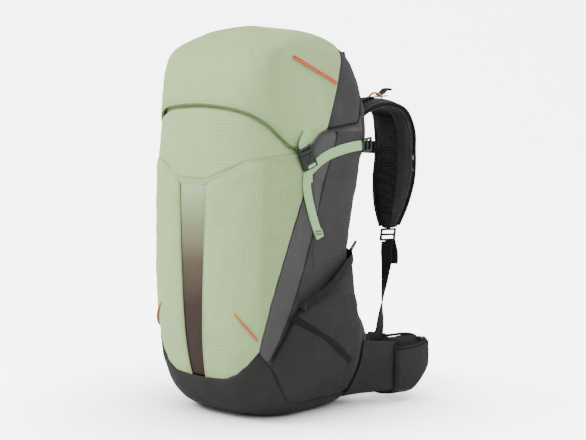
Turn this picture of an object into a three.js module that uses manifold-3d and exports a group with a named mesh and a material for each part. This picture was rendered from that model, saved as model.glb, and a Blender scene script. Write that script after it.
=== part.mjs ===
// Ventilated hiking backpack of about 28 litres: lidded bag, tensioned mesh back, harness and hip belt.
// Millimetres, +Z up, +X to the right seen from the front. The front faces -Y, the wearer stands at +Y,
// and the origin is the middle of the base on the floor.
import * as THREE from "three";
import { mergeVertices } from "three/addons/utils/BufferGeometryUtils.js";
import Module from "manifold-3d";

const wasm = await Module();
wasm.setup();

// Driving sizes
const BAG_HEIGHT = 577;
const BAG_WIDTH = 276;
const BAG_DEPTH_SCALE = 1; // stretches every section from front to back
const FABRIC = 2.5; // wall of a bag panel
const SEAM_GAP = 0.3; // between two pieces that touch
const SLANT_GAP = 1.2; // the same gap, measured up a steep seam
const UNDER_LID = 7; // how far the bag steps in below the lid
const POCKET_DEPTH = 9; // extra room behind the front pocket
const SIDE_POCKET_BULGE = 12;
const HINGE_GAP = 1;
const STRAP_WIDTH = 15; // compression webbing
const STRAP_THICK = 1.6;
const HARNESS_WIDTH = 20; // shoulder and sternum webbing
const BELT_WIDTH = 25;
const PAD_THICK = 17;
const HIP_CORE_THICK = 12;
const HIP_POCKET_THICK = 13;
const POCKET_WALL = 1.8;
const ROD_RADIUS = 2;
const MESH_THICK = 1.5;
const LUMBAR_THICK = 13;
const DRAWCORD_RADIUS = 1.6;
const BUCKLE_LENGTH = 22;
const BUCKLE_HEIGHT = 9;
const BUCKLE_WALL = 1.9;
const BUCKLE_CLEARANCE = 0.5;

// Half width, front depth, back depth and the squareness of the front and back halves, by height.
// Heights and widths are shares of the driving sizes.
const SECTIONS = [
  [0, 80, 56, 84, 2.6, 4],
  [8, 100, 78, 106, 2.6, 4.6],
  [30, 117, 101, 128, 2.6, 5.5],
  [68, 130, 117, 138, 2.6, 6.5],
  [100, 135, 123, 134, 2.6, 7],
  [128, 137, 126, 123, 2.6, 7],
  [150, 138, 127, 105, 2.6, 7],
  [190, 138, 128, 86, 2.6, 7],
  [250, 138, 128, 77, 2.6, 7],
  [310, 138, 127, 90, 2.6, 7],
  [366, 138, 126, 108, 2.6, 7],
  [423, 135, 120, 128, 2.7, 7],
  [473, 129, 110, 122, 3.2, 7],
  [513, 121, 95, 108, 4, 7],
  [540, 112, 76, 94, 5, 6],
  [556, 100, 52, 76, 4, 4.5],
  [568, 76, 30, 52, 3, 3.2],
  [577, 10, 8, 8, 2, 2],
];
const SECTION_HEIGHT = 577;
const SECTION_WIDTH = 276;
const UP = BAG_HEIGHT / SECTION_HEIGHT;
const WIDE = BAG_WIDTH / SECTION_WIDTH;
const DEEP = BAG_DEPTH_SCALE;
const BODY_TOP = 480 * UP;
const COLLAR_TOP = 500 * UP;
const LID_POCKET_FLOOR = 520 * UP;

// Seams: angle from the front in degrees, height
const BASE_SEAM = [[0, 62], [20, 62], [27, 64], [34, 72], [41, 86], [48, 106], [55, 84], [62, 52], [69, 26],
  [76, 22], [180, 22]];
const GREEN_SEAM = [[48, 106], [55, 177], [62, 234], [69, 286], [76, 331], [83, 375]];
const POCKET_MOUTH = [[0, 356], [13.5, 357], [27, 370], [41, 384], [62, 390], [83, 392]];
const LID_EDGE = [[0, 468], [13.5, 466], [27, 460], [34, 456], [48, 441], [55, 429], [62, 418], [69, 408], [76, 399],
  [83, 406], [90, 420], [98, 426], [116, 431], [124, 433], [132, 481], [180, 481]];
const LID_COLOUR_SEAM = [[98, 427], [107, 468], [116, 508], [124, 538], [128, 545], [180, 545]];
const SIDE_POCKET_MOUTH = [[55, 90], [62, 125], [69, 161], [76, 178], [83, 184], [90, 192], [98, 204], [107, 224],
  [116, 238], [124, 246]];
const HALF_TURN = [0, 8, 13.5, 20, 27, 34, 41, 48, 55, 62, 69, 76, 83, 90, 98, 107, 116, 124, 128, 132, 140, 150,
  160, 170, 180];
const SIDE_BACK_SEAM = 128;
const GREEN_LIMIT = 83;
const STRIPE_EDGE = [8, 13.5]; // angle at its lower and upper end

const group = new THREE.Group();
const V = (x, y, z) => new THREE.Vector3(x, y, z);
const MATERIALS = {
  mint: { color: 0xc4d3b6, roughness: 0.75, metalness: 0 },
  grey: { color: 0x565656, roughness: 0.8, metalness: 0 },
  dark: { color: 0x3b3a39, roughness: 0.85, metalness: 0 },
  stretch: { color: 0x9aa58f, roughness: 0.7, metalness: 0 },
  webbing: { color: 0x2b2b2b, roughness: 0.8, metalness: 0 },
  mintWebbing: { color: 0xbfe0bd, roughness: 0.7, metalness: 0 },
  orange: { color: 0xdc6e3c, roughness: 0.6, metalness: 0 },
  plastic: { color: 0x242424, roughness: 0.4, metalness: 0 },
  metal: { color: 0xb9bcc0, roughness: 0.3, metalness: 1 },
};

function add(name, geometry, material) {
  const mesh = new THREE.Mesh(geometry, new THREE.MeshStandardMaterial(MATERIALS[material]));
  mesh.name = name;
  group.add(mesh);
  return mesh;
}

// Straight-line value of a list of [place, value] rows.
function along(rows, place) {
  const at = Math.abs(place);
  const next = rows.findIndex((row) => row[0] >= at);
  if (next === 0) return rows[0][1];
  if (next < 0) return rows[rows.length - 1][1];
  const [a, b] = [rows[next - 1], rows[next]];
  return a[1] + ((b[1] - a[1]) * (at - a[0])) / (b[0] - a[0]);
}

const seamHeight = (rows, angle) => along(rows, angle) * UP;

// One column of the section table at a height, on a curve that never overshoots its rows.
function sectionValue(height, column) {
  const z = THREE.MathUtils.clamp(height / UP, 0, SECTION_HEIGHT);
  let k = SECTIONS.findIndex((row) => row[0] >= z);
  k = Math.max(1, k);
  const slope = (i) => (SECTIONS[i + 1][column] - SECTIONS[i][column]) / (SECTIONS[i + 1][0] - SECTIONS[i][0]);
  const tangent = (i) => {
    if (i === 0) return slope(0);
    if (i === SECTIONS.length - 1) return slope(i - 1);
    const [m, n] = [slope(i - 1), slope(i)];
    return m * n <= 0 ? 0 : (2 * m * n) / (m + n);
  };
  const [a, b] = [SECTIONS[k - 1], SECTIONS[k]];
  const h = b[0] - a[0];
  const t = (z - a[0]) / h;
  const [t2, t3] = [t * t, t * t * t];
  return a[column] * (2 * t3 - 3 * t2 + 1) + b[column] * (3 * t2 - 2 * t3)
    + h * (tangent(k - 1) * (t3 - 2 * t2 + t) + tangent(k) * (t3 - t2));
}

// A point of the bag's outer form, moved in by inset (out, where it is negative).
function skin(angle, height, inset = 0) {
  const a = THREE.MathUtils.degToRad(angle);
  const [s, c] = [Math.sin(a), Math.cos(a)];
  const front = c > 0;
  const halfWidth = Math.max(sectionValue(height, 1) * WIDE - inset, 2);
  const depth = Math.max(sectionValue(height, front ? 2 : 3) * DEEP - inset, 2);
  const n = sectionValue(height, front ? 4 : 5);
  const reach = (Math.abs(s / halfWidth) ** n + Math.abs(c / depth) ** n) ** (-1 / n);
  return V(reach * s, -reach * c, height);
}

function skinNormal(angle, height) {
  const around = skin(angle + 1, height).sub(skin(angle - 1, height));
  const up = skin(angle, height + 3).sub(skin(angle, height - 3));
  return around.cross(up).normalize();
}

// A point off the bag's surface: angle, height and distance out along the normal.
function offSkin(angle, height, out) {
  const n = skinNormal(angle, height);
  return { p: skin(angle, height).addScaledVector(n, out), n };
}

// Closes two grids of points, rows by columns, into one solid. A one-point row closes to a tip.
function closedSheet(outer, inner, wraps = false) {
  const points = [];
  const index = [];
  const place = (grid) => grid.map((row) => row.map((p) => points.push(p) - 1));
  const [o, i] = [place(outer), place(inner)];
  const face = (a, b, c) => index.push(a, b, c);
  const quad = (a, b, c, d) => { face(a, b, c); face(a, c, d); };
  const skinOf = (g, flip) => {
    for (let r = 0; r + 1 < g.length; r++) {
      const [low, high] = [g[r], g[r + 1]];
      const n = Math.max(low.length, high.length);
      for (let c = 0; c < (wraps ? n : n - 1); c++) {
        const at = (row, k) => row[row.length === 1 ? 0 : k % n];
        const q = [at(low, c), at(low, c + 1), at(high, c + 1), at(high, c)];
        if (low.length === 1) flip ? face(q[0], q[3], q[2]) : face(q[0], q[2], q[3]);
        else if (high.length === 1) flip ? face(q[0], q[2], q[1]) : face(q[0], q[1], q[2]);
        else flip ? quad(q[3], q[2], q[1], q[0]) : quad(q[0], q[1], q[2], q[3]);
      }
    }
  };
  skinOf(o, false);
  skinOf(i, true);
  const rim = (a, b, turned) => {
    for (let k = 0; k < (wraps ? a.length : a.length - 1); k++) {
      const j = (k + 1) % a.length;
      turned ? quad(a[k], b[k], b[j], a[j]) : quad(a[k], a[j], b[j], b[k]);
    }
  };
  const last = o.length - 1;
  if (o[0].length > 1) rim(o[0], i[0], true);
  if (o[last].length > 1) rim(o[last], i[last], false);
  if (!wraps) {
    for (const [edge, turned] of [[0, false], [o[0].length - 1, true]]) {
      for (let r = 0; r < last; r++) {
        const q = [o[r][edge], o[r + 1][edge], i[r + 1][edge], i[r][edge]];
        turned ? quad(q[3], q[2], q[1], q[0]) : quad(...q);
      }
    }
  }
  const geometry = new THREE.BufferGeometry().setFromPoints(points);
  geometry.setIndex(index);
  return geometry;
}

const mirrored = (angles) => [...angles.slice(1).reverse().map((a) => -a), ...angles];
const between = (from, to) => HALF_TURN.filter((a) => a >= from && a <= to);
const FULL_TURN = mirrored(HALF_TURN).slice(0, -1);

// A panel of the bag: columns of angles (or [lower, upper] pairs) between two seams, with a wall.
function panel(columns, low, high, rows, inset, wall = FABRIC) {
  const grid = (extra) => Array.from({ length: rows + 1 }, (_, r) => columns.map((column) => {
    const t = r / rows;
    const pair = Array.isArray(column) ? column : [column, column];
    const angle = pair[0] + (pair[1] - pair[0]) * t;
    const z = low(angle) + (high(angle) - low(angle)) * t;
    return skin(angle, z, inset(angle, z) + extra);
  }));
  return closedSheet(grid(0), grid(wall));
}

// A strip of webbing or padding: stations with a point p, the face's normal n and a width.
function strip(stations, thick, width) {
  const rings = stations.map((s, k) => {
    const before = stations[Math.max(0, k - 1)].p;
    const after = stations[Math.min(stations.length - 1, k + 1)].p;
    const t = after.clone().sub(before).normalize();
    const w = s.across ? s.across.clone() : t.clone().cross(s.n).normalize();
    const n = w.clone().cross(t).normalize();
    const half = (s.width ?? width) / 2;
    const depth = (s.thick ?? thick) / 2;
    const corner = (a, b) => s.p.clone().addScaledVector(w, a * half).addScaledVector(n, b * depth);
    return [[corner(-1, 1), corner(1, 1)], [corner(-1, -1), corner(1, -1)]];
  });
  return closedSheet(rings.map((r) => r[0]), rings.map((r) => r[1]));
}

const station = (x, y, z, nx, ny, nz, width) => ({ p: V(x, y, z), n: V(nx, ny, nz).normalize(), width });
// The same, and a bare point, for a place that follows the bag's width, depth and height.
const spot = (x, y, z) => V(x * WIDE, y * DEEP, z * UP);
const place = (x, y, z, nx, ny, nz, width) => ({ ...station(0, 0, 0, nx, ny, nz, width), p: spot(x, y, z) });

function solid(geometry) {
  const bare = geometry.index ? geometry.toNonIndexed() : geometry.clone();
  bare.deleteAttribute("normal");
  bare.deleteAttribute("uv");
  const merged = mergeVertices(bare, 1e-4);
  return new wasm.Manifold(new wasm.Mesh({
    numProp: 3,
    vertProperties: merged.attributes.position.array,
    triVerts: new Uint32Array(merged.index.array),
  }));
}

function geometryOf(manifold) {
  const { vertProperties, numProp, triVerts } = manifold.getMesh();
  const positions = [];
  for (let i = 0; i < vertProperties.length; i += numProp) positions.push(...vertProperties.slice(i, i + 3));
  const geometry = new THREE.BufferGeometry();
  geometry.setAttribute("position", new THREE.Float32BufferAttribute(positions, 3));
  geometry.setIndex([...triVerts]);
  return geometry;
}

// Moves a piece made about the origin: its local X, Y and Z go along across, along and out.
function placed(geometry, at, alongAxis, out) {
  const y = alongAxis.clone().normalize();
  const x = y.clone().cross(out).normalize();
  const z = x.clone().cross(y).normalize();
  const frame = new THREE.Matrix4().makeBasis(x, y, z).setPosition(at);
  return geometry.clone().applyMatrix4(frame);
}

function plate(outline, holes, thick) {
  const shape = new THREE.Shape(outline.map(([x, y]) => new THREE.Vector2(x, y)));
  shape.holes = holes.map((hole) => new THREE.Path(hole.map(([x, y]) => new THREE.Vector2(x, y))));
  const geometry = new THREE.ExtrudeGeometry(shape, { depth: thick, bevelEnabled: false, curveSegments: 4 });
  return geometry.translate(0, 0, -thick / 2);
}

const rectangle = (w, h, x = 0, y = 0) => [[x - w / 2, y - h / 2], [x + w / 2, y - h / 2], [x + w / 2, y + h / 2],
  [x - w / 2, y + h / 2]];

// Ladder lock: a flat frame with a slot at each side of its middle bar.
function ladderLock(webbing) {
  const [wide, tall, rim] = [webbing + 7, 20, 3];
  const slot = (tall - 3 * rim) / 2;
  const offset = (slot + rim) / 2;
  const cut = (y) => rectangle(webbing + 1, slot, 0, y);
  return plate(rectangle(wide, tall), [cut(offset), cut(-offset)], 4);
}

// Socket half of a side-release buckle: a flat sleeve, open at both ends.
function socket(webbing) {
  const wide = webbing + 9;
  const outer = rectangle(wide, BUCKLE_HEIGHT);
  const inner = rectangle(wide - 2 * BUCKLE_WALL, BUCKLE_HEIGHT - 2 * BUCKLE_WALL);
  const geometry = plate(outer, [inner], BUCKLE_LENGTH);
  return geometry.rotateX(-Math.PI / 2);
}

// Plug half: a solid head with a fork of two prongs and a tongue that fits the sleeve.
function plug(webbing) {
  const inside = webbing + 9 - 2 * BUCKLE_WALL - 2 * BUCKLE_CLEARANCE;
  const [reach, head, prong] = [14, 10, 3.2];
  const h = inside / 2;
  const outline = [[-h, 0], [-h, -reach + 2], [-h + prong / 2, -reach], [-h + prong, -reach + 2], [-h + prong, -1.5],
    [-prong / 2, -1.5], [-prong / 2, -reach + 3], [prong / 2, -reach + 3], [prong / 2, -1.5], [h - prong, -1.5],
    [h - prong, -reach + 2], [h - prong / 2, -reach], [h, -reach + 2], [h, 0]];
  const fork = plate(outline, [], BUCKLE_HEIGHT - 2 * BUCKLE_WALL - 2 * BUCKLE_CLEARANCE);
  const slot = rectangle(webbing + 1, 2.4, 0, head / 2 + 1.5);
  const block = plate(rectangle(webbing + 8, head, 0, head / 2 + SEAM_GAP), [slot], BUCKLE_HEIGHT - 2);
  const neck = plate(rectangle(inside - 2, 2, 0, 0), [], 3);
  return geometryOf(solid(fork).add(solid(block)).add(solid(neck)));
}

function rod(points, radius, sides, steps, closed = false) {
  const curve = new THREE.CatmullRomCurve3(points, closed, "centripetal");
  const shape = new THREE.Shape();
  for (let k = 0; k < sides; k++) {
    const a = (2 * Math.PI * k) / sides;
    shape[k ? "lineTo" : "moveTo"](radius * Math.cos(a), radius * Math.sin(a));
  }
  return new THREE.ExtrudeGeometry(shape, { extrudePath: curve, steps, bevelEnabled: false });
}

// ---- Bag ----
const smooth = THREE.MathUtils.smoothstep;
const lidEdge = (angle) => seamHeight(LID_EDGE, angle);
const LID_TUCK = 10; // height over which the bag steps in below the lid's edge
const sideInset = (angle, z) => UNDER_LID * smooth(z, lidEdge(angle) - LID_TUCK, lidEdge(angle) - 2);
const POCKET_FOOT = 60;
const frontInset = (angle, z) => UNDER_LID + POCKET_DEPTH * (1 - (angle / GREEN_LIMIT) ** 2)
  * smooth(z, POCKET_FOOT * UP, (POCKET_FOOT + 50) * UP) * (1 - smooth(z, 325 * UP, 380 * UP));

function basePanel() {
  const ring = (z, scale, inset) => FULL_TURN.map((a) => {
    const p = skin(a, z, inset);
    return V(p.x * scale, p.y * scale, z);
  });
  const rise = (share, inset) => FULL_TURN.map((a) => {
    const top = seamHeight(BASE_SEAM, a) - SLANT_GAP;
    return skin(a, 18 * UP + (top - 18 * UP) * share, inset);
  });
  const levels = (floor, inset) => [[V(0, 0, floor)], ring(floor, 1, inset), ring(8, 1, inset),
    rise(0, inset), rise(0.5, inset), rise(1, inset)];
  return closedSheet(levels(0, 0), levels(FABRIC, FABRIC), true);
}

function sidePanel() {
  const low = (angle) => seamHeight(BASE_SEAM, angle) + SLANT_GAP * 0.5;
  const high = (angle) => (angle <= GREEN_LIMIT ? seamHeight(GREEN_SEAM, angle) - SLANT_GAP
    : BODY_TOP);
  const columns = [48.6, ...between(55, 83), 83.4, ...between(90, 124), SIDE_BACK_SEAM - 0.15];
  return panel(columns, low, high, 10, sideInset);
}

function backPanel() {
  const columns = [SIDE_BACK_SEAM + 0.15, ...between(132, 180)];
  const all = [...columns, ...columns.slice(0, -1).reverse().map((a) => 360 - a)];
  const fold = (angle) => (angle > 180 ? 360 - angle : angle);
  const low = (angle) => seamHeight(BASE_SEAM, fold(angle)) + SLANT_GAP * 0.5;
  const high = (angle) => Math.min(BODY_TOP, lidEdge(fold(angle)) - HINGE_GAP);
  return panel(all, low, high, 12, () => 0);
}

function mirrorX(geometry) {
  const copy = (geometry.index ? geometry.toNonIndexed() : geometry.clone()).scale(-1, 1, 1);
  const p = copy.attributes.position;
  const turned = [];
  for (let i = 0; i < p.count; i += 3) for (const k of [i, i + 2, i + 1]) turned.push(p.getX(k), p.getY(k), p.getZ(k));
  const geometryOut = new THREE.BufferGeometry();
  geometryOut.setAttribute("position", new THREE.Float32BufferAttribute(turned, 3));
  return geometryOut;
}

function pair(name, geometry, material) {
  add(`${name}_right`, geometry, material);
  add(`${name}_left`, mirrorX(geometry), material);
}

add("base_panel", basePanel(), "dark");
const frontColumns = mirrored([...between(0, 76), GREEN_LIMIT - 0.15]);
add("front_panel", panel(frontColumns, () => POCKET_FOOT * UP, () => BODY_TOP, 9, frontInset), "mint");
pair("side_panel", sidePanel(), "grey");
add("back_panel", backPanel(), "grey");

const pocketLow = (angle) => (angle < 48 ? seamHeight(BASE_SEAM, angle) : seamHeight(GREEN_SEAM, angle)) + SLANT_GAP;
const pocketHigh = (angle) => seamHeight(POCKET_MOUTH, angle);
const pocketColumns = [STRIPE_EDGE, ...between(20, 76), GREEN_LIMIT - 0.6];
pair("front_pocket", panel(pocketColumns, pocketLow, pocketHigh, 6, () => 0, 2), "mint");
const STRIPE_TUCK = 1.2;
const stripeSide = STRIPE_EDGE.map((a) => a + STRIPE_TUCK);
const stripeColumns = [stripeSide.map((a) => -a), 0, stripeSide];
add("stretch_stripe", panel(stripeColumns, pocketLow, (a) => pocketHigh(a) - 3, 6, () => 2.4, 1.4), "stretch");

const sidePocketInset = (angle, z) => {
  const across = Math.sin((Math.PI * (angle - 55)) / (124 - 55));
  const rise = smooth(z, 20 * UP, 110 * UP);
  return -(3 * SEAM_GAP + POCKET_WALL + SIDE_POCKET_BULGE * across * rise);
};
const sidePocketColumns = [55.5, ...between(62, 124)];
pair("side_pocket", panel(sidePocketColumns, (a) => seamHeight(BASE_SEAM, a) + 3,
  (a) => seamHeight(SIDE_POCKET_MOUTH, a), 7, sidePocketInset, POCKET_WALL), "dark");

// ---- Collar under the lid ----
const COLLAR_INSET = UNDER_LID + FABRIC + 5 * SEAM_GAP;
const COLLAR_LEAN = 6; // how far its rim draws in
const collarRing = (z, inset) => FULL_TURN.map((a) => skin(a, z, inset));
const collarLevels = (inset) => [collarRing(452 * UP, inset), collarRing(476 * UP, inset),
  collarRing(COLLAR_TOP, inset + COLLAR_LEAN)];
add("top_collar", closedSheet(collarLevels(COLLAR_INSET), collarLevels(COLLAR_INSET + 2), true), "dark");
const cordHeight = COLLAR_TOP + DRAWCORD_RADIUS + SEAM_GAP;
const cordRoute = FULL_TURN.filter((_, k) => k % 2 === 0).map((a) => skin(a, COLLAR_TOP, COLLAR_INSET + COLLAR_LEAN + 1)
  .setZ(cordHeight));
const LOCK_HALF = 6;
const drawcordTube = solid(rod(cordRoute, DRAWCORD_RADIUS, 6, 40, true));
const lockAt = V(0, skin(0, COLLAR_TOP, COLLAR_INSET + COLLAR_LEAN + 1).y, cordHeight);
const lockSpace = new THREE.BoxGeometry(2 * LOCK_HALF + 2 * SEAM_GAP, 20, 20).translate(...lockAt.toArray());
add("collar_drawcord", geometryOf(drawcordTube.subtract(solid(lockSpace))), "webbing");
const lockBody = solid(new THREE.BoxGeometry(2 * LOCK_HALF, 9, 9));
const lockWell = solid(new THREE.BoxGeometry(7, 5, 8).translate(0, 0, 2.5));
add("cord_lock_body", geometryOf(lockBody.subtract(lockWell)).translate(lockAt.x, lockAt.y, cordHeight + 3), "plastic");
add("cord_lock_button", new THREE.BoxGeometry(6.2, 4.2, 7).translate(lockAt.x, lockAt.y, cordHeight + 3 + 6), "plastic");

// ---- Back system ----
const MESH_EDGE = [[104, 98], [150, 86], [250, 72], [350, 84], [440, 96]];
const MESH_PLANE = [[104, 142], [150, 130], [200, 122], [250, 118.5], [300, 118.5], [350, 122], [400, 129], [440, 134.5]];
const MESH_LOW = 104;
const MESH_HIGH = 412;
function backMesh() {
  const rows = 10;
  const grid = (y) => Array.from({ length: rows + 1 }, (_, r) => {
    const z = MESH_LOW + ((MESH_HIGH - MESH_LOW) * r) / rows;
    const half = along(MESH_EDGE, z) * WIDE;
    return [1, 0.5, 0, -0.5, -1].map((s) => V(half * s, along(MESH_PLANE, z) * DEEP + y, z * UP));
  });
  return closedSheet(grid(MESH_THICK), grid(0));
}
add("back_mesh", backMesh(), "dark");
const rodGap = ROD_RADIUS + 0.6;
const rodSide = [110, 150, 200, 250, 300, 350, 400, 436].map((z) => V(along(MESH_EDGE, z) * WIDE - 4,
  along(MESH_PLANE, z) * DEEP - rodGap, z * UP));
const rodTopY = 134.5 * DEEP - rodGap;
const rodTop = [V(70 * WIDE, rodTopY, 447 * UP), V(0, rodTopY, 449 * UP)];
const rodHalf = [...rodSide, ...rodTop];
const rodRoute = [...rodHalf, ...rodHalf.slice(0, -1).reverse().map((p) => V(-p.x, p.y, p.z))];
add("frame_rod", rod(rodRoute, ROD_RADIUS, 6, 36), "metal");
const lumbarColumns = [140, 150, 160, 170, 180, 190, 200, 210, 220];
add("lumbar_pad", panel(lumbarColumns, () => 24 * UP, () => 98 * UP, 5, () => -LUMBAR_THICK - 0.9, LUMBAR_THICK), "dark");
const haulStations = [[-46, 124.5], [-41, 138], [-26, 149], [0, 153], [26, 149], [41, 138],
  [46, 124.5]];
const HAUL_HEIGHT = 466;
const haulNormals = [[-1, 0.1], [-0.8, 0.6], [-0.3, 1], [0, 1], [0.3, 1], [0.8, 0.6], [1, 0.1]];
add("haul_loop", strip(haulStations.map(([x, y], k) => place(x, y, HAUL_HEIGHT, ...haulNormals[k], 0)), 2, 16),
  "webbing");

// ---- Compression straps, buckles and locks ----
const BUCKLE_ANGLE = 77;
const BUCKLE_HEIGHT_ON_BAG = 381 * UP;
const BUCKLE_TILT = V(0, -0.36, 0.93);
const buckleSeat = offSkin(BUCKLE_ANGLE, BUCKLE_HEIGHT_ON_BAG, BUCKLE_HEIGHT / 2 + 2.8);
const buckleUp = BUCKLE_TILT.clone().addScaledVector(buckleSeat.n, -BUCKLE_TILT.dot(buckleSeat.n)).normalize();
pair("buckle_socket", placed(socket(STRAP_WIDTH), buckleSeat.p, buckleUp, buckleSeat.n), "plastic");
const plugAt = buckleSeat.p.clone().addScaledVector(buckleUp, BUCKLE_LENGTH / 2 + SEAM_GAP);
pair("buckle_plug", placed(plug(STRAP_WIDTH), plugAt, buckleUp, buckleSeat.n), "plastic");

const webOut = STRAP_THICK / 2 + 0.8;
const onSkin = (route, out) => route.map(([angle, z]) => offSkin(angle, z * UP, out));
// One piece of webbing: from the lock at the back edge to the foot of the buckle, where its tail folds down.
const upperWeb = onSkin([[122, 399], [116, 397.5], [107, 394], [98, 389], [90, 382], [84, 374], [79.5, 367]], webOut);
const tailWeb = onSkin([[78, 365], [77.2, 356], [77, 345], [78, 331], [80, 315], [83, 295], [87.5, 270]],
  webOut + STRAP_THICK - 0.2);
pair("compression_strap", geometryOf(solid(strip(upperWeb, STRAP_THICK, STRAP_WIDTH))
  .add(solid(strip(tailWeb, STRAP_THICK, STRAP_WIDTH)))), "mintWebbing");

function lockOnSkin(angle, height, out, direction) {
  const seat = offSkin(angle, height * UP, out);
  return placed(ladderLock(STRAP_WIDTH), seat.p, direction, seat.n);
}
pair("ladder_lock_upper", lockOnSkin(127.5, 400, 6, V(0, 1, 0.1)), "plastic");
const LOWER_LOCK_OUT = 12 + (STRAP_WIDTH - 15) / 4; // a wider lock needs more room beside the full pocket
pair("ladder_lock_lower", lockOnSkin(121, 243, LOWER_LOCK_OUT, V(-0.2, 0.8, 0.5)), "plastic");

const lowerRoute = [[74, 176], [80, 184], [87, 191], [94, 201], [101, 213], [108, 225], [114, 233]];
pair("lower_strap", strip(lowerRoute.map(([a, z]) => offSkin(a, z * UP, webOut - sidePocketInset(a, z) + 0.8)),
  STRAP_THICK, STRAP_WIDTH), "webbing");

const loopRoute = [[34.5, 163], [37.5, 154], [41, 144], [44.5, 134], [47, 126]];
pair("pole_loop", strip(onSkin(loopRoute, 1.7), 2, 5), "orange");

// ---- Lid ----
const lidLow = (angle) => (angle < 98 ? lidEdge(angle) : seamHeight(LID_COLOUR_SEAM, angle));
function lidShell() {
  const rows = 8;
  const grid = (inset, top) => {
    const rings = Array.from({ length: rows }, (_, r) => FULL_TURN.map((a) => {
      const low = lidLow(Math.abs(a));
      const t = Math.sin((Math.PI / 2) * (r / rows));
      return skin(a, low + (BAG_HEIGHT - low) * t, inset).setZ(low + (BAG_HEIGHT - low) * t - top * t);
    }));
    return [...rings, [V(0, 0, BAG_HEIGHT - top)]];
  };
  return closedSheet(grid(0, 0), grid(FABRIC, FABRIC), true);
}
add("lid_shell", lidShell(), "mint");
function lidBack() {
  const half = [99, ...between(107, 180)];
  const all = [...half, ...half.slice(0, -1).reverse().map((a) => 360 - a)];
  const fold = (angle) => (angle > 180 ? 360 - angle : angle);
  return panel(all, (a) => lidEdge(fold(a)), (a) => seamHeight(LID_COLOUR_SEAM, fold(a)) - SLANT_GAP, 6, () => 0);
}
add("lid_back", lidBack(), "grey");
const FLOOR_INSET = FABRIC + 3.6;
const floorRing = (z) => [[V(0, 0, z)], FULL_TURN.map((a) => skin(a, LID_POCKET_FLOOR, FLOOR_INSET).setZ(z))];
const FLOOR_THICK = 1.6;
add("lid_floor", closedSheet(floorRing(LID_POCKET_FLOOR), floorRing(LID_POCKET_FLOOR + FLOOR_THICK), true), "dark");

const ZIP_HEIGHT = 530 * UP;
const ZIP_HALF = 92 * WIDE;
const ZIP_TALL = 8;
const ZIP_FACE = skin(180, ZIP_HEIGHT - ZIP_TALL / 2, 0).y + 2.2;
const backY = (x, z) => {
  const [hw, depth, n] = [sectionValue(z, 1) * WIDE, sectionValue(z, 3) * DEEP, sectionValue(z, 5)];
  return depth * (1 - Math.abs(x / hw) ** n) ** (1 / n);
};
const zipLevels = [ZIP_HEIGHT - ZIP_TALL / 2, ZIP_HEIGHT + ZIP_TALL / 2];
const zipColumns = [1, 0.75, 0.5, 0.25, 0, -0.25, -0.5, -0.75, -1].map((s) => s * ZIP_HALF);
add("lid_zip", closedSheet(zipLevels.map((z) => zipColumns.map((x) => V(x, ZIP_FACE, z))),
  zipLevels.map((z) => zipColumns.map((x) => V(x, backY(x, z) + 0.9, z)))), "webbing");
const SLIDER_START = ZIP_HALF - 6;
const sliderBody = new THREE.BoxGeometry(9, 3, 7).translate(SLIDER_START, ZIP_FACE + SEAM_GAP + 1.5, ZIP_HEIGHT);
const sliderFace = ZIP_FACE + SEAM_GAP + 3;
const sliderPull = strip([station(SLIDER_START, sliderFace, ZIP_HEIGHT, 0, 1, 0.4),
  station(SLIDER_START, sliderFace + 11, ZIP_HEIGHT - 22, 0, 1, 0.4)], 1.6, 3);
add("lid_zip_slider", geometryOf(solid(sliderBody).add(solid(sliderPull))), "plastic");

const lidCordRoute = [[73, 529], [77.5, 525], [82, 520.5], [87, 515.5], [92, 510.5], [97, 505.5], [102, 500.5],
  [106, 496], [110, 491]];
add("lid_cord", strip(onSkin(lidCordRoute, 2.2), 2.4, 6), "orange");
function lidStub() {
  const head = (reach) => ({ p: plugAt.clone().addScaledVector(buckleUp, reach), n: buckleSeat.n });
  const top = offSkin(82, 430 * UP, 2.2);
  const across = buckleUp.clone().cross(buckleSeat.n).normalize();
  return strip([head(10.9), head(17), top].map((s) => ({ p: s.p, across })), 1.4, STRAP_WIDTH - 1);
}
pair("lid_stub", lidStub(), "mintWebbing");

// ---- Harness ----
const PAD_ROUTE = [
  place(56, 139.1, 430, 0, -0.55, 0.83, 56), place(60, 154, 443, 0, -0.45, 0.9, 60),
  place(63, 180, 455, 0, -0.2, 1, 64), place(67, 208, 458, 0.05, 0.25, 1, 70),
  place(71, 231, 446, 0.05, 0.8, 0.6, 76), place(75, 241, 415, -0.04, 1, 0.15, 78),
  place(79, 238, 378, -0.04, 1, -0.15, 78), place(84, 229, 338, -0.15, 1, -0.25, 74),
  place(91, 215, 298, -0.15, 1, -0.35, 58), place(97, 203, 264, -0.15, 1, -0.35, 30),
];
PAD_ROUTE[0].p.y = rodTopY + ROD_RADIUS - 3.3 + PAD_THICK / 2;
pair("shoulder_pad", strip(PAD_ROUTE, PAD_THICK, 70), "dark");
const PAD_SHARE = PAD_THICK / 2 - 8.5; // how far a pad's face stands from where it lies on this bag
const lifterTop = [place(68, 124.6, 459, 0, -0.1, 1), place(68, 160, 465, 0, -0.1, 1),
  place(69, 190, 467.8, 0, 0, 1), place(70, 210, 468.2, 0, 0.2, 1), place(71, 229, 473, 0, -0.3, 1)];
for (const s of lifterTop.slice(2)) s.p.z += PAD_SHARE;
pair("load_lifter", strip(lifterTop, STRAP_THICK, HARNESS_WIDTH - 4), "webbing");
const padFoot = PAD_ROUTE[PAD_ROUTE.length - 1].p;
const fromFoot = (x, y, z) => padFoot.clone().add(V(x, y, z));
pair("shoulder_lock", placed(ladderLock(HARNESS_WIDTH), fromFoot(1.2, -3.7, -9.9), V(0.15, -0.35, -1),
  V(-0.15, 1, -0.3)), "plastic");
const webAcross = V(0.973, 0.19, 0.13).normalize();
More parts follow.
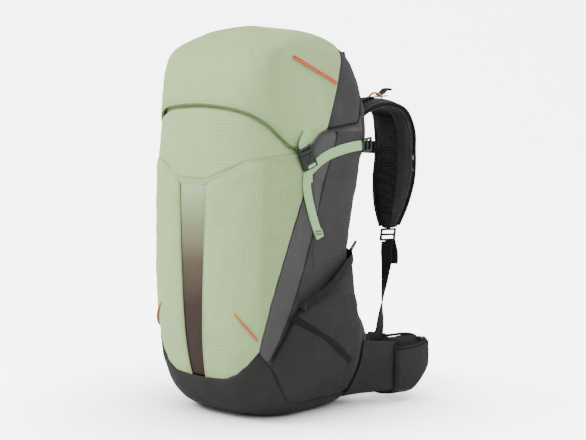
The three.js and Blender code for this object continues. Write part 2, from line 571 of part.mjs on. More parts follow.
const webRoute = [fromFoot(3.2, -8, -20.1), spot(106, 186, 214), spot(114, 173, 180), spot(122, 158, 146),
  spot(129, 144, 116)].map((p) => ({ p, across: webAcross }));
pair("harness_webbing", strip(webRoute, STRAP_THICK, HARNESS_WIDTH), "webbing");

const STERNUM_HEIGHT = 386 * UP;
const sternumY = 251.9 * DEEP + PAD_SHARE;
const sternumWeb = (from, to) => strip([station(from, sternumY, STERNUM_HEIGHT, 0, 1, 0),
  station(to, sternumY, STERNUM_HEIGHT, 0, 1, 0)], STRAP_THICK, HARNESS_WIDTH);
const SOCKET_X = -18;
const sternumSocket = placed(socket(HARNESS_WIDTH), V(SOCKET_X, sternumY, STERNUM_HEIGHT), V(-1, 0, 0), V(0, 1, 0));
const sternumBar = new THREE.BoxGeometry(4, 5, HARNESS_WIDTH + 6).translate(SOCKET_X + BUCKLE_LENGTH / 2 + 1, sternumY,
  STERNUM_HEIGHT);
add("sternum_strap_right", geometryOf(solid(sternumSocket).add(solid(sternumBar))
  .add(solid(sternumWeb(92 * WIDE, SOCKET_X + BUCKLE_LENGTH / 2 + 2)))), "webbing");
const sternumPlug = placed(plug(HARNESS_WIDTH), V(SOCKET_X - BUCKLE_LENGTH / 2 - SEAM_GAP, sternumY, STERNUM_HEIGHT),
  V(-1, 0, 0), V(0, 1, 0));
add("sternum_strap_left", geometryOf(solid(sternumPlug)
  .add(solid(sternumWeb(SOCKET_X - BUCKLE_LENGTH / 2 - 8.5, -82 * WIDE)))), "webbing");

// ---- Hip belt ----
const HIP_LEVEL = 57;
const HIP_MIDDLE = HIP_LEVEL * UP;
const CORE_ROUTE = [place(103.4, 153.5, HIP_LEVEL, 0.2, -1, 0, 84), place(118, 158, HIP_LEVEL, 0.7, -0.7, 0, 90),
  place(128, 170, HIP_LEVEL, 1, -0.3, 0, 92), place(133, 200, HIP_LEVEL, 1, 0, 0, 90),
  place(132, 222, HIP_LEVEL, 1, 0.05, 0, 80), place(129, 244, HIP_LEVEL, 1, 0.1, 0, 56)];
pair("hip_wing", strip(CORE_ROUTE, HIP_CORE_THICK, 90), "dark");
const HIP_POCKET_TOP = HIP_MIDDLE + 35;
function hipPocket() {
  const out = HIP_CORE_THICK / 2 + SEAM_GAP + HIP_POCKET_THICK / 2;
  const route = (inset) => [[130.5, 166, 1, -0.22, 76], [133, 183, 1, -0.08, 80], [133.5, 202, 1, 0, 79],
    [132.5, 220, 1, 0.06, 68], [130.5, 234, 1, 0.1, 55]].map(([x, y, nx, ny, width], k, all) => {
    const s = station(x * WIDE, y * DEEP, HIP_POCKET_TOP - width / 2, nx, ny, 0, width - 2 * inset);
    s.p.addScaledVector(s.n, out);
    s.across = V(0, 0, -1);
    if (inset && k === 0) s.p.y += inset;
    if (inset && k === all.length - 1) s.p.y -= inset;
    return s;
  });
  const body = solid(strip(route(0), HIP_POCKET_THICK, 78));
  const room = route(POCKET_WALL).map((s) => {
    s.p.z += 14;
    s.width += 28 - 2 * POCKET_WALL;
    return s;
  });
  return geometryOf(body.subtract(solid(strip(room, HIP_POCKET_THICK - 2 * POCKET_WALL, 78))));
}
pair("hip_pocket", hipPocket(), "dark");
const HIP_SLIDER_TALL = 3;
const hipSlider = new THREE.BoxGeometry(11, 8, HIP_SLIDER_TALL)
  .translate(133 * WIDE + 12.4, 222 * DEEP, HIP_POCKET_TOP + SEAM_GAP + HIP_SLIDER_TALL / 2);
pair("hip_zip_slider", hipSlider, "plastic");
const beltCurve = [place(129, 244.5, HIP_LEVEL, 1, 0.15, 0), place(124, 262, HIP_LEVEL, 1, 0.5, 0),
  place(106, 281, HIP_LEVEL, 0.6, 0.9, 0), place(76, 291, HIP_LEVEL, 0.2, 1, 0),
  place(40, 295, HIP_LEVEL, 0, 1, 0), place(14, 295, HIP_LEVEL, 0, 1, 0)];
const beltY = 295 * DEEP;
const beltSocket = placed(socket(BELT_WIDTH), V(0, beltY, HIP_MIDDLE), V(-1, 0, 0), V(0, 1, 0));
const beltBar = new THREE.BoxGeometry(4, 5, BELT_WIDTH + 6).translate(BUCKLE_LENGTH / 2 + 1, beltY, HIP_MIDDLE);
add("hip_belt_right", geometryOf(solid(beltSocket).add(solid(beltBar)).add(solid(strip(beltCurve, STRAP_THICK,
  BELT_WIDTH)))), "webbing");
const beltPlug = placed(plug(BELT_WIDTH), V(-BUCKLE_LENGTH / 2 - SEAM_GAP, beltY, HIP_MIDDLE), V(-1, 0, 0), V(0, 1, 0));
const leftCurve = mirrorX(strip([...beltCurve.slice(0, -1), place(20, 295, HIP_LEVEL, 0, 1, 0)], STRAP_THICK,
  BELT_WIDTH));
add("hip_belt_left", geometryOf(solid(beltPlug).add(solid(leftCurve))), "webbing");

export default group;
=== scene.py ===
"""Ventilated hiking backpack: fabric, padding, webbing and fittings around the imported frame."""

import math

import bpy
import numpy as np
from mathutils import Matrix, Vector, noise


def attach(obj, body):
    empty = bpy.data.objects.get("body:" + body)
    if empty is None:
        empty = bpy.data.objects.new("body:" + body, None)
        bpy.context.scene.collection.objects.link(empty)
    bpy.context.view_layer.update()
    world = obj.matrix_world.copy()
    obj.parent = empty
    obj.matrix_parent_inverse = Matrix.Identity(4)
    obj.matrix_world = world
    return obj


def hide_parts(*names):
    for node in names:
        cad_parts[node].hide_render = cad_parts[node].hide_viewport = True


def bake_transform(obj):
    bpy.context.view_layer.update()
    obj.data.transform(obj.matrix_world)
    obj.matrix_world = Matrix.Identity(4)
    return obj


bl_info = {
    "name": "Ventilated hiking backpack",
    "version": (1, 0, 0),
    "blender": (4, 5, 0),
    "location": "3D View > Sidebar > Backpack",
    "description": "Builds the fabric, padding, webbing and fittings of a 28 litre hiking backpack",
    "category": "Object",
}

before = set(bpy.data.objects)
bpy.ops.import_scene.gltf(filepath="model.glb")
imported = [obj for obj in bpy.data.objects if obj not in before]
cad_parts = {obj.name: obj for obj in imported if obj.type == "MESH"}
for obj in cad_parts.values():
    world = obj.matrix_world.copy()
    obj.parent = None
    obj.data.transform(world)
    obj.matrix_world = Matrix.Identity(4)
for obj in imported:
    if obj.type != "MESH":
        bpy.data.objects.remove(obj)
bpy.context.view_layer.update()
MM = 0.001
SIDES = (("right", 1.0), ("left", -1.0))

# ---------------------------------------------------------------- the bag's form
# Height, half width, front depth, back depth, squareness of the front and of the back, in
# millimetres.
SECTIONS = np.array([
    [0, 80, 56, 84, 2.6, 4], [8, 100, 78, 106, 2.6, 4.6], [30, 117, 101, 128, 2.6, 5.5],
    [68, 130, 117, 138, 2.6, 6.5], [100, 135, 123, 134, 2.6, 7], [128, 137, 126, 123, 2.6, 7],
    [150, 138, 127, 105, 2.6, 7], [190, 138, 128, 86, 2.6, 7], [250, 138, 128, 77, 2.6, 7],
    [310, 138, 127, 90, 2.6, 7], [366, 138, 126, 108, 2.6, 7], [423, 135, 120, 128, 2.7, 7],
    [473, 129, 110, 122, 3.2, 7], [513, 121, 95, 108, 4, 7], [540, 112, 76, 94, 5, 6],
    [556, 100, 52, 76, 4, 4.5], [568, 76, 30, 52, 3, 3.2], [577, 10, 8, 8, 2, 2]])
BASE_SEAM = [(0, 62), (20, 62), (27, 64), (34, 72), (41, 86), (48, 106), (55, 84), (62, 52),
             (69, 26), (76, 22), (180, 22)]
GREEN_SEAM = [(48, 106), (55, 177), (62, 234), (69, 286), (76, 331), (83, 375)]
POCKET_MOUTH = [(0, 356), (13.5, 357), (27, 370), (41, 384), (62, 390), (83, 392)]
LID_EDGE = [(0, 462), (13.5, 461), (24.5, 459), (34, 456), (43, 450), (50, 441), (55, 432),
            (62, 415), (67, 404), (72, 400), (76, 399), (83, 406), (90, 420), (98, 426), (116, 431),
            (124, 433), (132, 481), (180, 481)]
LID_COLOUR_SEAM = [(98, 427), (107, 468), (116, 508), (124, 538), (128, 545), (180, 545)]
SIDE_POCKET_MOUTH = [(55, 90), (62, 125), (69, 161), (76, 178), (83, 184), (90, 192), (98, 204),
                     (107, 224), (116, 238), (124, 246)]
BAND_SEAM = [(54.5, 94), (61, 131), (67, 167), (74, 213), (81.5, 265), (90, 330), (97, 374),
             (102, 398), (106, 421)]
STRIPE_EDGE = (8.0, 13.5)
HEIGHT = 577.0
BODY_TOP = 480.0
UNDER_LID = 7.0
SEAM_REACH = 5.0        # how far a seam draws the cloth in
SHIRR_REACH = 26.0      # how far gathers run from an elastic edge
SHIRR_STEP = 4.3
POCKET_ARC = (55.0, 69.0)   # the side pocket's first angle and its span
POCKET_BELLY = 12.6
LID_STUB_TOP = (78.4, 420.0, 1.5)
HIP_LEVEL = 57

# The stage, in metres.
CAMERA_PLACE, CAMERA_AIM = (1.6263, -1.6263, 0.520), (0.0424, 0.0424, 0.2845)
FLOOR_REACH = 40.0
WALL_START, WALL_RADIUS, WALL_TOP = 2.6, 1.6, 7.0
LAMP_AIM = (0, 0, 0.28)
SKY_STRENGTH = 0.66
FLOOR_GLOW = 5.0


def _section_curves():
    """The section columns at every half millimetre, on curves that never overshoot their rows."""
    heights = np.arange(0.0, HEIGHT + 0.01, 0.5)
    z = SECTIONS[:, 0]
    out = [heights]
    for column in range(1, 6):
        v = SECTIONS[:, column]
        slope = np.diff(v) / np.diff(z)
        tangent = np.empty(len(v))
        tangent[0], tangent[-1] = slope[0], slope[-1]
        m, n = slope[:-1], slope[1:]
        tangent[1:-1] = np.where(m * n <= 0, 0.0, 2 * m * n / np.where(np.abs(m + n) < 1e-9, 1,
                                                                       m + n))
        k = np.clip(np.searchsorted(z, heights, side="left"), 1, len(z) - 1)
        h = z[k] - z[k - 1]
        t = (heights - z[k - 1]) / h
        out.append(v[k - 1] * (2 * t**3 - 3 * t**2 + 1) + v[k] * (3 * t**2 - 2 * t**3)
                   + h * (tangent[k - 1] * (t**3 - 2 * t**2 + t) + tangent[k] * (t**3 - t**2)))
    return out


CURVES = _section_curves()


def seam(rows, angle):
    """Height of a seam at an angle from the front, the same on both sides of the bag."""
    a = np.abs(((np.asarray(angle, float) + 180) % 360) - 180)
    places, values = zip(*rows)
    return np.interp(a, places, values)


def skin(angle, height, inset=0.0):
    """Points of the bag's outer form, moved in by inset millimetres."""
    a = np.radians(np.asarray(angle, float))
    z = np.asarray(height, float)
    s, c = np.sin(a), np.cos(a)
    at = np.clip(z, 0, HEIGHT)
    wide = np.maximum(np.interp(at, CURVES[0], CURVES[1]) - inset, 2)
    front = c > 0
    depth = np.where(front, np.interp(at, CURVES[0], CURVES[2]),
                     np.interp(at, CURVES[0], CURVES[3]))
    depth = np.maximum(depth - inset, 2)
    n = np.where(front, np.interp(at, CURVES[0], CURVES[4]), np.interp(at, CURVES[0], CURVES[5]))
    reach = (np.abs(s / wide) ** n + np.abs(c / depth) ** n) ** (-1 / n)
    return np.stack(np.broadcast_arrays(reach * s, -reach * c, z), axis=-1)


def unit(v):
    return v / np.maximum(np.linalg.norm(v, axis=-1, keepdims=True), 1e-9)


def off_skin(angle, height, out=0.0):
    """A point off the bag's surface and the surface's normal there."""
    around = skin(np.add(angle, 1), height) - skin(np.subtract(angle, 1), height)
    up = skin(angle, np.add(height, 3)) - skin(angle, np.subtract(height, 3))
    n = unit(np.cross(around, up))
    return skin(angle, height) + n * np.asarray(out, float)[..., None], n


def smooth(x, low, high):
    t = np.clip((x - low) / (high - low), 0, 1)
    return t * t * (3 - 2 * t)


def ripple(points, scale, seed=0.0):
    """Soft random height from -1 to 1 at each point, in features about scale millimetres wide."""
    flat = points.reshape(-1, 3) / scale
    values = [noise.noise(Vector((p[0] + seed, p[1] - seed, p[2] + 0.5 * seed))) for p in flat]
    return np.array(values).reshape(points.shape[:-1])


def distances(points, axis):
    """Running length along one axis of a grid of points, in millimetres."""
    step = np.linalg.norm(np.diff(points, axis=axis), axis=-1)
    start = np.zeros_like(np.take(points[..., 0], [0], axis=axis))
    return np.concatenate([start, np.cumsum(step, axis=axis)], axis=axis)


def run_of(path):
    """Running length along a path, in millimetres."""
    return distances(path, 0)


# ---------------------------------------------------------------- meshes
def grid_normals(points, wrap):
    du = np.roll(points, -1, 1) - np.roll(points, 1, 1)
    if not wrap:
        du[:, 0], du[:, -1] = points[:, 1] - points[:, 0], points[:, -1] - points[:, -2]
    dv = np.gradient(points, axis=0)
    return unit(np.cross(du, dv))


def linked(name, data):
    """A new object in the scene that shows the given mesh, lamp or camera."""
    obj = bpy.data.objects.new(name, data)
    bpy.context.scene.collection.objects.link(obj)
    return obj


def shaded(mesh, smooth_faces=True):
    mesh.polygons.foreach_set("use_smooth", [smooth_faces] * len(mesh.polygons))


def set_cut(mesh, uv):
    """Gives each point of a mesh its place on the cut cloth, in millimetres."""
    layer = mesh.uv_layers.new(name="cut")
    loops = np.empty(len(mesh.loops), np.int32)
    mesh.loops.foreach_get("vertex_index", loops)
    layer.data.foreach_set("uv", np.asarray(uv, np.float32)[loops].ravel())


def coordinates(mesh):
    co = np.empty(len(mesh.vertices) * 3)
    mesh.vertices.foreach_get("co", co)
    return co.reshape(-1, 3)


def settled(obj):
    """Applies an object's modifiers and returns the plain mesh, under the object's name."""
    graph = bpy.context.evaluated_depsgraph_get()
    made = bpy.data.meshes.new_from_object(obj.evaluated_get(graph))
    obj.modifiers.clear()
    made.name = obj.name
    return made


def bevelled(obj, width, segments, angle):
    """Rounds an object's sharp edges, as a mould does, and leaves its faces flat."""
    edge = obj.modifiers.new("edge", "BEVEL")
    edge.width, edge.segments, edge.limit_method = width * MM, segments, "ANGLE"
    edge.angle_limit = math.radians(angle)
    obj.data = settled(obj)
    shaded(obj.data, False)
    return obj


def new_object(name, verts, faces, uv=None, mats=()):
    """A mesh object at the origin. Points are in millimetres and the mesh is in metres."""
    mesh = bpy.data.meshes.new(name)
    mesh.from_pydata((np.asarray(verts, float) * MM).tolist(), [], faces)
    if uv is not None:
        set_cut(mesh, uv)
    shaded(mesh)
    obj = linked(name, mesh)
    for m in mats:
        mesh.materials.append(m)
    mesh.update()
    return obj


def sheet_mesh(name, points, thick, mat, wrap=False, tips=(False, False), uv=None):
    """Closes a grid of points, rows by columns, into cloth of one thickness below the points."""
    rows, cols = points.shape[:2]
    n = grid_normals(points, wrap)
    if np.ndim(thick) == 2:
        thick = np.asarray(thick)[..., None]
    inner = points - n * thick
    if uv is None:
        uv = np.stack([distances(points, 1), distances(points, 0)], -1)
    verts = np.concatenate([points.reshape(-1, 3), inner.reshape(-1, 3)])
    uvs = np.concatenate([uv.reshape(-1, 2), uv.reshape(-1, 2)])
    total = rows * cols
    faces = []
    span = cols if wrap else cols - 1
    for r in range(rows - 1):
        for c in range(span):
            d = (c + 1) % cols
            a, b, e, f = r * cols + c, r * cols + d, (r + 1) * cols + d, (r + 1) * cols + c
            faces.append((a, b, e, f))
            faces.append((total + f, total + e, total + b, total + a))
    for c in range(span):
        d = (c + 1) % cols
        if not tips[0]:
            faces.append((c, total + c, total + d, d))
        if not tips[1]:
            k = (rows - 1) * cols
            faces.append((k + c, k + d, total + k + d, total + k + c))
    extra, extra_uv = [], []
    for tip, row, flip in ((tips[0], 0, False), (tips[1], rows - 1, True)):
        if not tip:
            continue
        for base, back in ((0, False), (total, True)):
            centre = len(verts) + len(extra)
            extra.append(verts[base + row * cols: base + row * cols + cols].mean(0))
            extra_uv.append(uvs[row * cols: row * cols + cols].mean(0))
            for c in range(cols):
                d = (c + 1) % cols
                a, b = base + row * cols + c, base + row * cols + d
                faces.append((centre, b, a) if flip == back else (centre, a, b))
    if not wrap:
        for r in range(rows - 1):
            a, b = r * cols, (r + 1) * cols
            faces.append((a, b, total + b, total + a))
            a, b = a + cols - 1, b + cols - 1
            faces.append((a, total + a, total + b, b))
    if extra:
        verts, uvs = np.concatenate([verts, extra]), np.concatenate([uvs, extra_uv])
    return new_object(name, verts, faces, uvs, [mat])


def smooth_route(stations, count):
    """A smooth curve of count points through rows of numbers, centripetal at its corners."""
    rows = np.asarray(stations, float)
    step = np.linalg.norm(np.diff(rows[:, :3], axis=0), axis=1) ** 0.75
    t = np.concatenate([[0], np.cumsum(np.maximum(step, 1e-6))])
    slope = np.gradient(rows, t, axis=0)
    want = np.linspace(0, t[-1], count)
    k = np.clip(np.searchsorted(t, want, side="right") - 1, 0, len(t) - 2)
    h = (t[k + 1] - t[k])[:, None]
    s = ((want - t[k])[:, None]) / h
    return (rows[k] * (2 * s**3 - 3 * s**2 + 1) + rows[k + 1] * (3 * s**2 - 2 * s**3)
            + h * (slope[k] * (s**3 - 2 * s**2 + s) + slope[k + 1] * (s**3 - s**2)))


def ribbon(name, stations, width, thick, mat, count=None, across=9, cup=0.0, wave=0.0, seed=0.0):
    """Webbing with rounded edges through stations (x, y, z, normal x, y, z[, width])."""
    rows = np.asarray(stations, float)
    length = np.linalg.norm(np.diff(rows[:, :3], axis=0), axis=1).sum()
    count = count or int(np.clip(length / 2.5, 12, 160))
    path = smooth_route(rows, count)
    p, n = path[:, :3], unit(path[:, 3:6])
    wide = path[:, 6] if rows.shape[1] > 6 else np.full(count, float(width))
    t = unit(np.gradient(p, axis=0))
    w = unit(np.cross(t, n))
    n = np.cross(w, t)
    share = np.linspace(-1, 1, across)
    run = run_of(p)
    lift = thick / 2 * np.sqrt(np.clip(1 - (np.abs(share) ** 8), 0.12, 1))
    shape = cup * (1 - share**2)
    sway = wave * np.sin(run / 21 + seed) * np.sin(np.pi * run / run[-1])
    centre = p + n * sway[:, None]
    body = centre[:, None] + w[:, None] * (share[None, :, None] * wide[:, None, None] / 2)
    top = body + n[:, None] * (lift + shape)[None, :, None]
    bottom = body + n[:, None] * (shape - lift)[None, :, None]
    verts = np.concatenate([top.reshape(-1, 3), bottom.reshape(-1, 3)])
    uv1 = np.stack(np.broadcast_arrays(share[None, :] * wide[:, None] / 2, run[:, None]),
                   -1).reshape(-1, 2)
    return stitched_pair(name, verts, np.concatenate([uv1, uv1]), count, across, mat)


def stitched_pair(name, verts, uvs, rows, cols, mat):
    """Joins an upper and a lower grid of the same size round all four edges."""
    total = rows * cols
    faces = []
    for r in range(rows - 1):
        for c in range(cols - 1):
            a, b, e, f = r * cols + c, r * cols + c + 1, (r + 1) * cols + c + 1, (r + 1) * cols + c
            faces.append((a, b, e, f))
            faces.append((total + f, total + e, total + b, total + a))
        a, b = r * cols, (r + 1) * cols
        faces.append((a, b, total + b, total + a))
        a, b = a + cols - 1, b + cols - 1
        faces.append((a, total + a, total + b, b))
    k = (rows - 1) * cols
    for c in range(cols - 1):
        faces.append((c, total + c, total + c + 1, c + 1))
        faces.append((k + c, k + c + 1, total + k + c + 1, total + k + c))
    return new_object(name, verts, faces, uvs, [mat])


def tube(name, route, radius, mat, sides=10, count=None, closed=False):
    """A round cord or piping along a route, closed by domed ends."""
    rows = np.asarray(route, float)[:, :3]
    if closed:
        rows = np.concatenate([rows, rows[:1]])
    length = np.linalg.norm(np.diff(rows, axis=0), axis=1).sum()
    count = count or int(np.clip(length / (radius * 1.6), 10, 400))
    p = smooth_route(rows, count)
    if closed:
        p = p[:-1]
        t = unit(np.roll(p, -1, 0) - np.roll(p, 1, 0))
    else:
        t = unit(np.gradient(p, axis=0))
    up = np.array([0.13, 0.21, 0.97])
    side = unit(np.cross(t, up))
    other = np.cross(t, side)
    turn = np.linspace(0, 2 * np.pi, sides, endpoint=False)
    ring = np.cos(turn)[None, :, None] * other[:, None] + np.sin(turn)[None, :,
                                                                       None] * side[:, None]
    run = run_of(p)
    verts = (p[:, None] + ring * float(radius)).reshape(-1, 3)
    uv = np.stack(np.broadcast_arrays(turn[None, :] * radius, run[:, None]), -1).reshape(-1, 2)
    faces = []
    n = len(p)
    for r in range(n if closed else n - 1):
        q = (r + 1) % n
        for c in range(sides):
            d = (c + 1) % sides
            faces.append((r * sides + c, q * sides + c, q * sides + d, r * sides + d))
    if not closed:
        ends = [p[0] - t[0] * radius * 0.6, p[-1] + t[-1] * radius * 0.6]
        verts = np.concatenate([verts, ends])
        uv = np.concatenate([uv, [[0, 0], [0, run[-1]]]])
        for c in range(sides):
            d = (c + 1) % sides
            faces.append((n * sides, c, d))
            faces.append((n * sides + 1, (n - 1) * sides + d, (n - 1) * sides + c))
    return new_object(name, verts, faces, uv, [mat])


def flipped(obj, name):
    """A copy mirrored to the other side of the bag, with its faces turned outwards again."""
    mesh = obj.data.copy()
    mesh.name = name
    mesh.vertices.foreach_set("co", (coordinates(mesh) * [-1, 1, 1]).ravel())
    mesh.flip_normals()
    mesh.update()
    return linked(name, mesh)


def fasten(obj, body, replaces=()):
    """Puts a finished piece on its body and the frame nodes it stands for."""
    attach(obj, body)
    if replaces:
        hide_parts(*replaces)
    return obj


def both(make, name, body, replaces=(), sided=False):
    """Makes a right piece and its mirror image. A sided body or node name takes _right or _left."""
    right = make(f"{name}_right")
    left = flipped(right, f"{name}_left")
    for obj, (side, _) in zip((right, left), SIDES):
        where = f"{body}_{side}" if sided else body
        fasten(obj, where, [f"{n}_{side}" for n in replaces])
    return right, left


def bridging(right, name, ends, node=None):
    """Bakes a right piece and its mirror image in place, and hides the side's frame node if given.

    ends, the right piece's two ends in metres, is not used.
    """
    for obj, (side, sign) in zip((right, flipped(right, f"{name}_left")), SIDES):
        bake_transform(obj)
        if node:
            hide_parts(f"{node}_{side}")


# ---------------------------------------------------------------- materials
def colour(text):
    """An sRGB hex colour as the linear colour that shaders take."""
    parts = [int(text[i:i + 2], 16) / 255 for i in (1, 3, 5)]
    return (*[p / 12.92 if p <= 0.04045 else ((p + 0.055) / 1.055) ** 2.4 for p in parts], 1.0)


def add(tree, kind, settings=None, links=None):
    """Adds a node to a tree, with its settings, socket values and links."""
    node = tree.nodes.new(kind)
    for key, value in (settings or {}).items():
        if isinstance(key, str) and hasattr(node, key):
            setattr(node, key, value)
        else:
            node.inputs[key].default_value = value
    for key, source in (links or {}).items():
        tree.links.new(source, node.inputs[key])
    return node


def new_material(name, hex_text, roughness, **sockets):
    """A material with one Principled shader. Returns the material, its tree and the shader."""
    mat = bpy.data.materials.new(name)
    mat.use_nodes = True
    mat.node_tree.nodes.clear()
    tree = mat.node_tree
    named = {k.replace("_", " ").title().replace("Ior", "IOR"): v for k, v in sockets.items()}
    shader = add(tree, "ShaderNodeBsdfPrincipled", {"Base Color": colour(hex_text),
                                                    "Roughness": roughness, **named})
    add(tree, "ShaderNodeOutputMaterial", None, {"Surface": shader.outputs[0]})
    mat.diffuse_color = colour(hex_text)
    return mat, tree, shader


def cut_axes(tree):
    """The piece's own cut coordinates in millimetres, across and along."""
    uv = add(tree, "ShaderNodeUVMap", {"uv_map": "cut"})
    parts = add(tree, "ShaderNodeSeparateXYZ", None, {0: uv.outputs[0]})
    return parts.outputs[0], parts.outputs[1]


def thread_lines(tree, axis, pitch, share):
    """Ridges along one axis: 1 on a thread, which is a share of the pitch wide, and 0 between."""
    turns = add(tree, "ShaderNodeMath", {"operation": "MULTIPLY", 1: 2 * math.pi / pitch},
                {0: axis})
    wave = add(tree, "ShaderNodeMath", {"operation": "COSINE"}, {0: turns.outputs[0]})
    edge = math.cos(math.pi * share)
    ramp = add(tree, "ShaderNodeMapRange", {"interpolation_type": "SMOOTHSTEP", "From Min": edge
                                            - 0.05, "From Max": 1.0}, {"Value": wave.outputs[0]})
    return ramp.outputs[0]


def blotches(tree, size_mm, detail=3.0):
    """Soft cloudy variation with features about size_mm across, from the piece's own place."""
    place = add(tree, "ShaderNodeTexCoord")
    return add(tree, "ShaderNodeTexNoise", {"Scale": 1000.0 / size_mm, "Detail": detail,
                                            "Roughness": 0.55},
               {"Vector": place.outputs["Object"]}).outputs[0]


def mixed(tree, factor, a, b, mode="MIX"):
    """Mixes two colours, each a hex text or a link, by a factor that is a number or a link."""
    node = add(tree, "ShaderNodeMix", {"data_type": "RGBA", "blend_type": mode})
    for socket, value in ((0, factor), (6, a), (7, b)):
        if isinstance(value, str):
            node.inputs[socket].default_value = colour(value)
        elif isinstance(value, (int, float)):
            node.inputs[socket].default_value = value
        else:
            tree.links.new(value, node.inputs[socket])
    return node.outputs[2]


def scaled(tree, value, by, plus=0.0):
    node = add(tree, "ShaderNodeMath", {"operation": "MULTIPLY_ADD", 1: by, 2: plus}, {0: value})
    return node.outputs[0]


def summed(tree, a, b, operation="ADD"):
    return add(tree, "ShaderNodeMath", {"operation": operation}, {0: a, 1: b}).outputs[0]


def bumped(tree, shader, height, depth_mm):
    """Raises the surface by a height from 0 to 1, over depth_mm."""
    node = add(tree, "ShaderNodeBump", {"Strength": 1.0, "Distance": depth_mm * MM},
               {"Height": height})
    feed(tree, shader, normal=node.outputs[0])


def feed(tree, shader, **sources):
    """Links sources to a shader's sockets by their names."""
    for name, source in sources.items():
        tree.links.new(source, shader.inputs[name.replace("_", " ").title()])


def woven(name, light, dark, roughness, pitch, relief, grid=None, shine=0.1, crease=0.5):
    """Woven cloth: two cloudy shades, crossing threads, and a raised grid where it is ripstop."""
    mat, tree, shader = new_material(name, light, roughness, sheen_weight=0.02,
                                     sheen_roughness=0.45, specular_ior_level=shine)
    u, v = cut_axes(tree)
    threads = summed(tree, thread_lines(tree, u, pitch, 0.5), thread_lines(tree, v, pitch, 0.5),
                     "MULTIPLY")
    shade = mixed(tree, scaled(tree, blotches(tree, 38.0), 0.9, -0.05), light, dark)
    height = scaled(tree, threads, 0.35)
    if grid:
        lines = summed(tree, thread_lines(tree, u, grid, 0.16), thread_lines(tree, v, grid, 0.16),
                       "MAXIMUM")
        shade = mixed(tree, scaled(tree, lines, 0.22), shade, dark, "MULTIPLY")
        height = summed(tree, height, scaled(tree, lines, 0.55))
    height = summed(tree, height, scaled(tree, blotches(tree, 9.0), crease))
    feed(tree, shader, base_color=shade,
         roughness=scaled(tree, blotches(tree, 22.0), 0.16, roughness - 0.08))
    bumped(tree, shader, height, relief)
    return mat


def webbing(name, light, dark, roughness, ribs=3.2):
    """Flat woven strap: raised ribs along its length crossed by fine picks."""
    mat, tree, shader = new_material(name, light, roughness, specular_ior_level=0.16)
    u, v = cut_axes(tree)
    rib = thread_lines(tree, u, ribs, 0.62)
    pick = thread_lines(tree, v, 1.6, 0.5)
    weave = summed(tree, rib, scaled(tree, pick, 0.5, 0.5), "MULTIPLY")
    # Painted light: ribs painted lighter as highlight, the grooves between them darker as shade.
    shade = mixed(tree, weave, dark, light)
    feed(tree, shader, base_color=mixed(tree, scaled(tree, blotches(tree, 26.0), 0.35), shade,
                                        dark))
    bumped(tree, shader, weave, 0.5)
    return mat


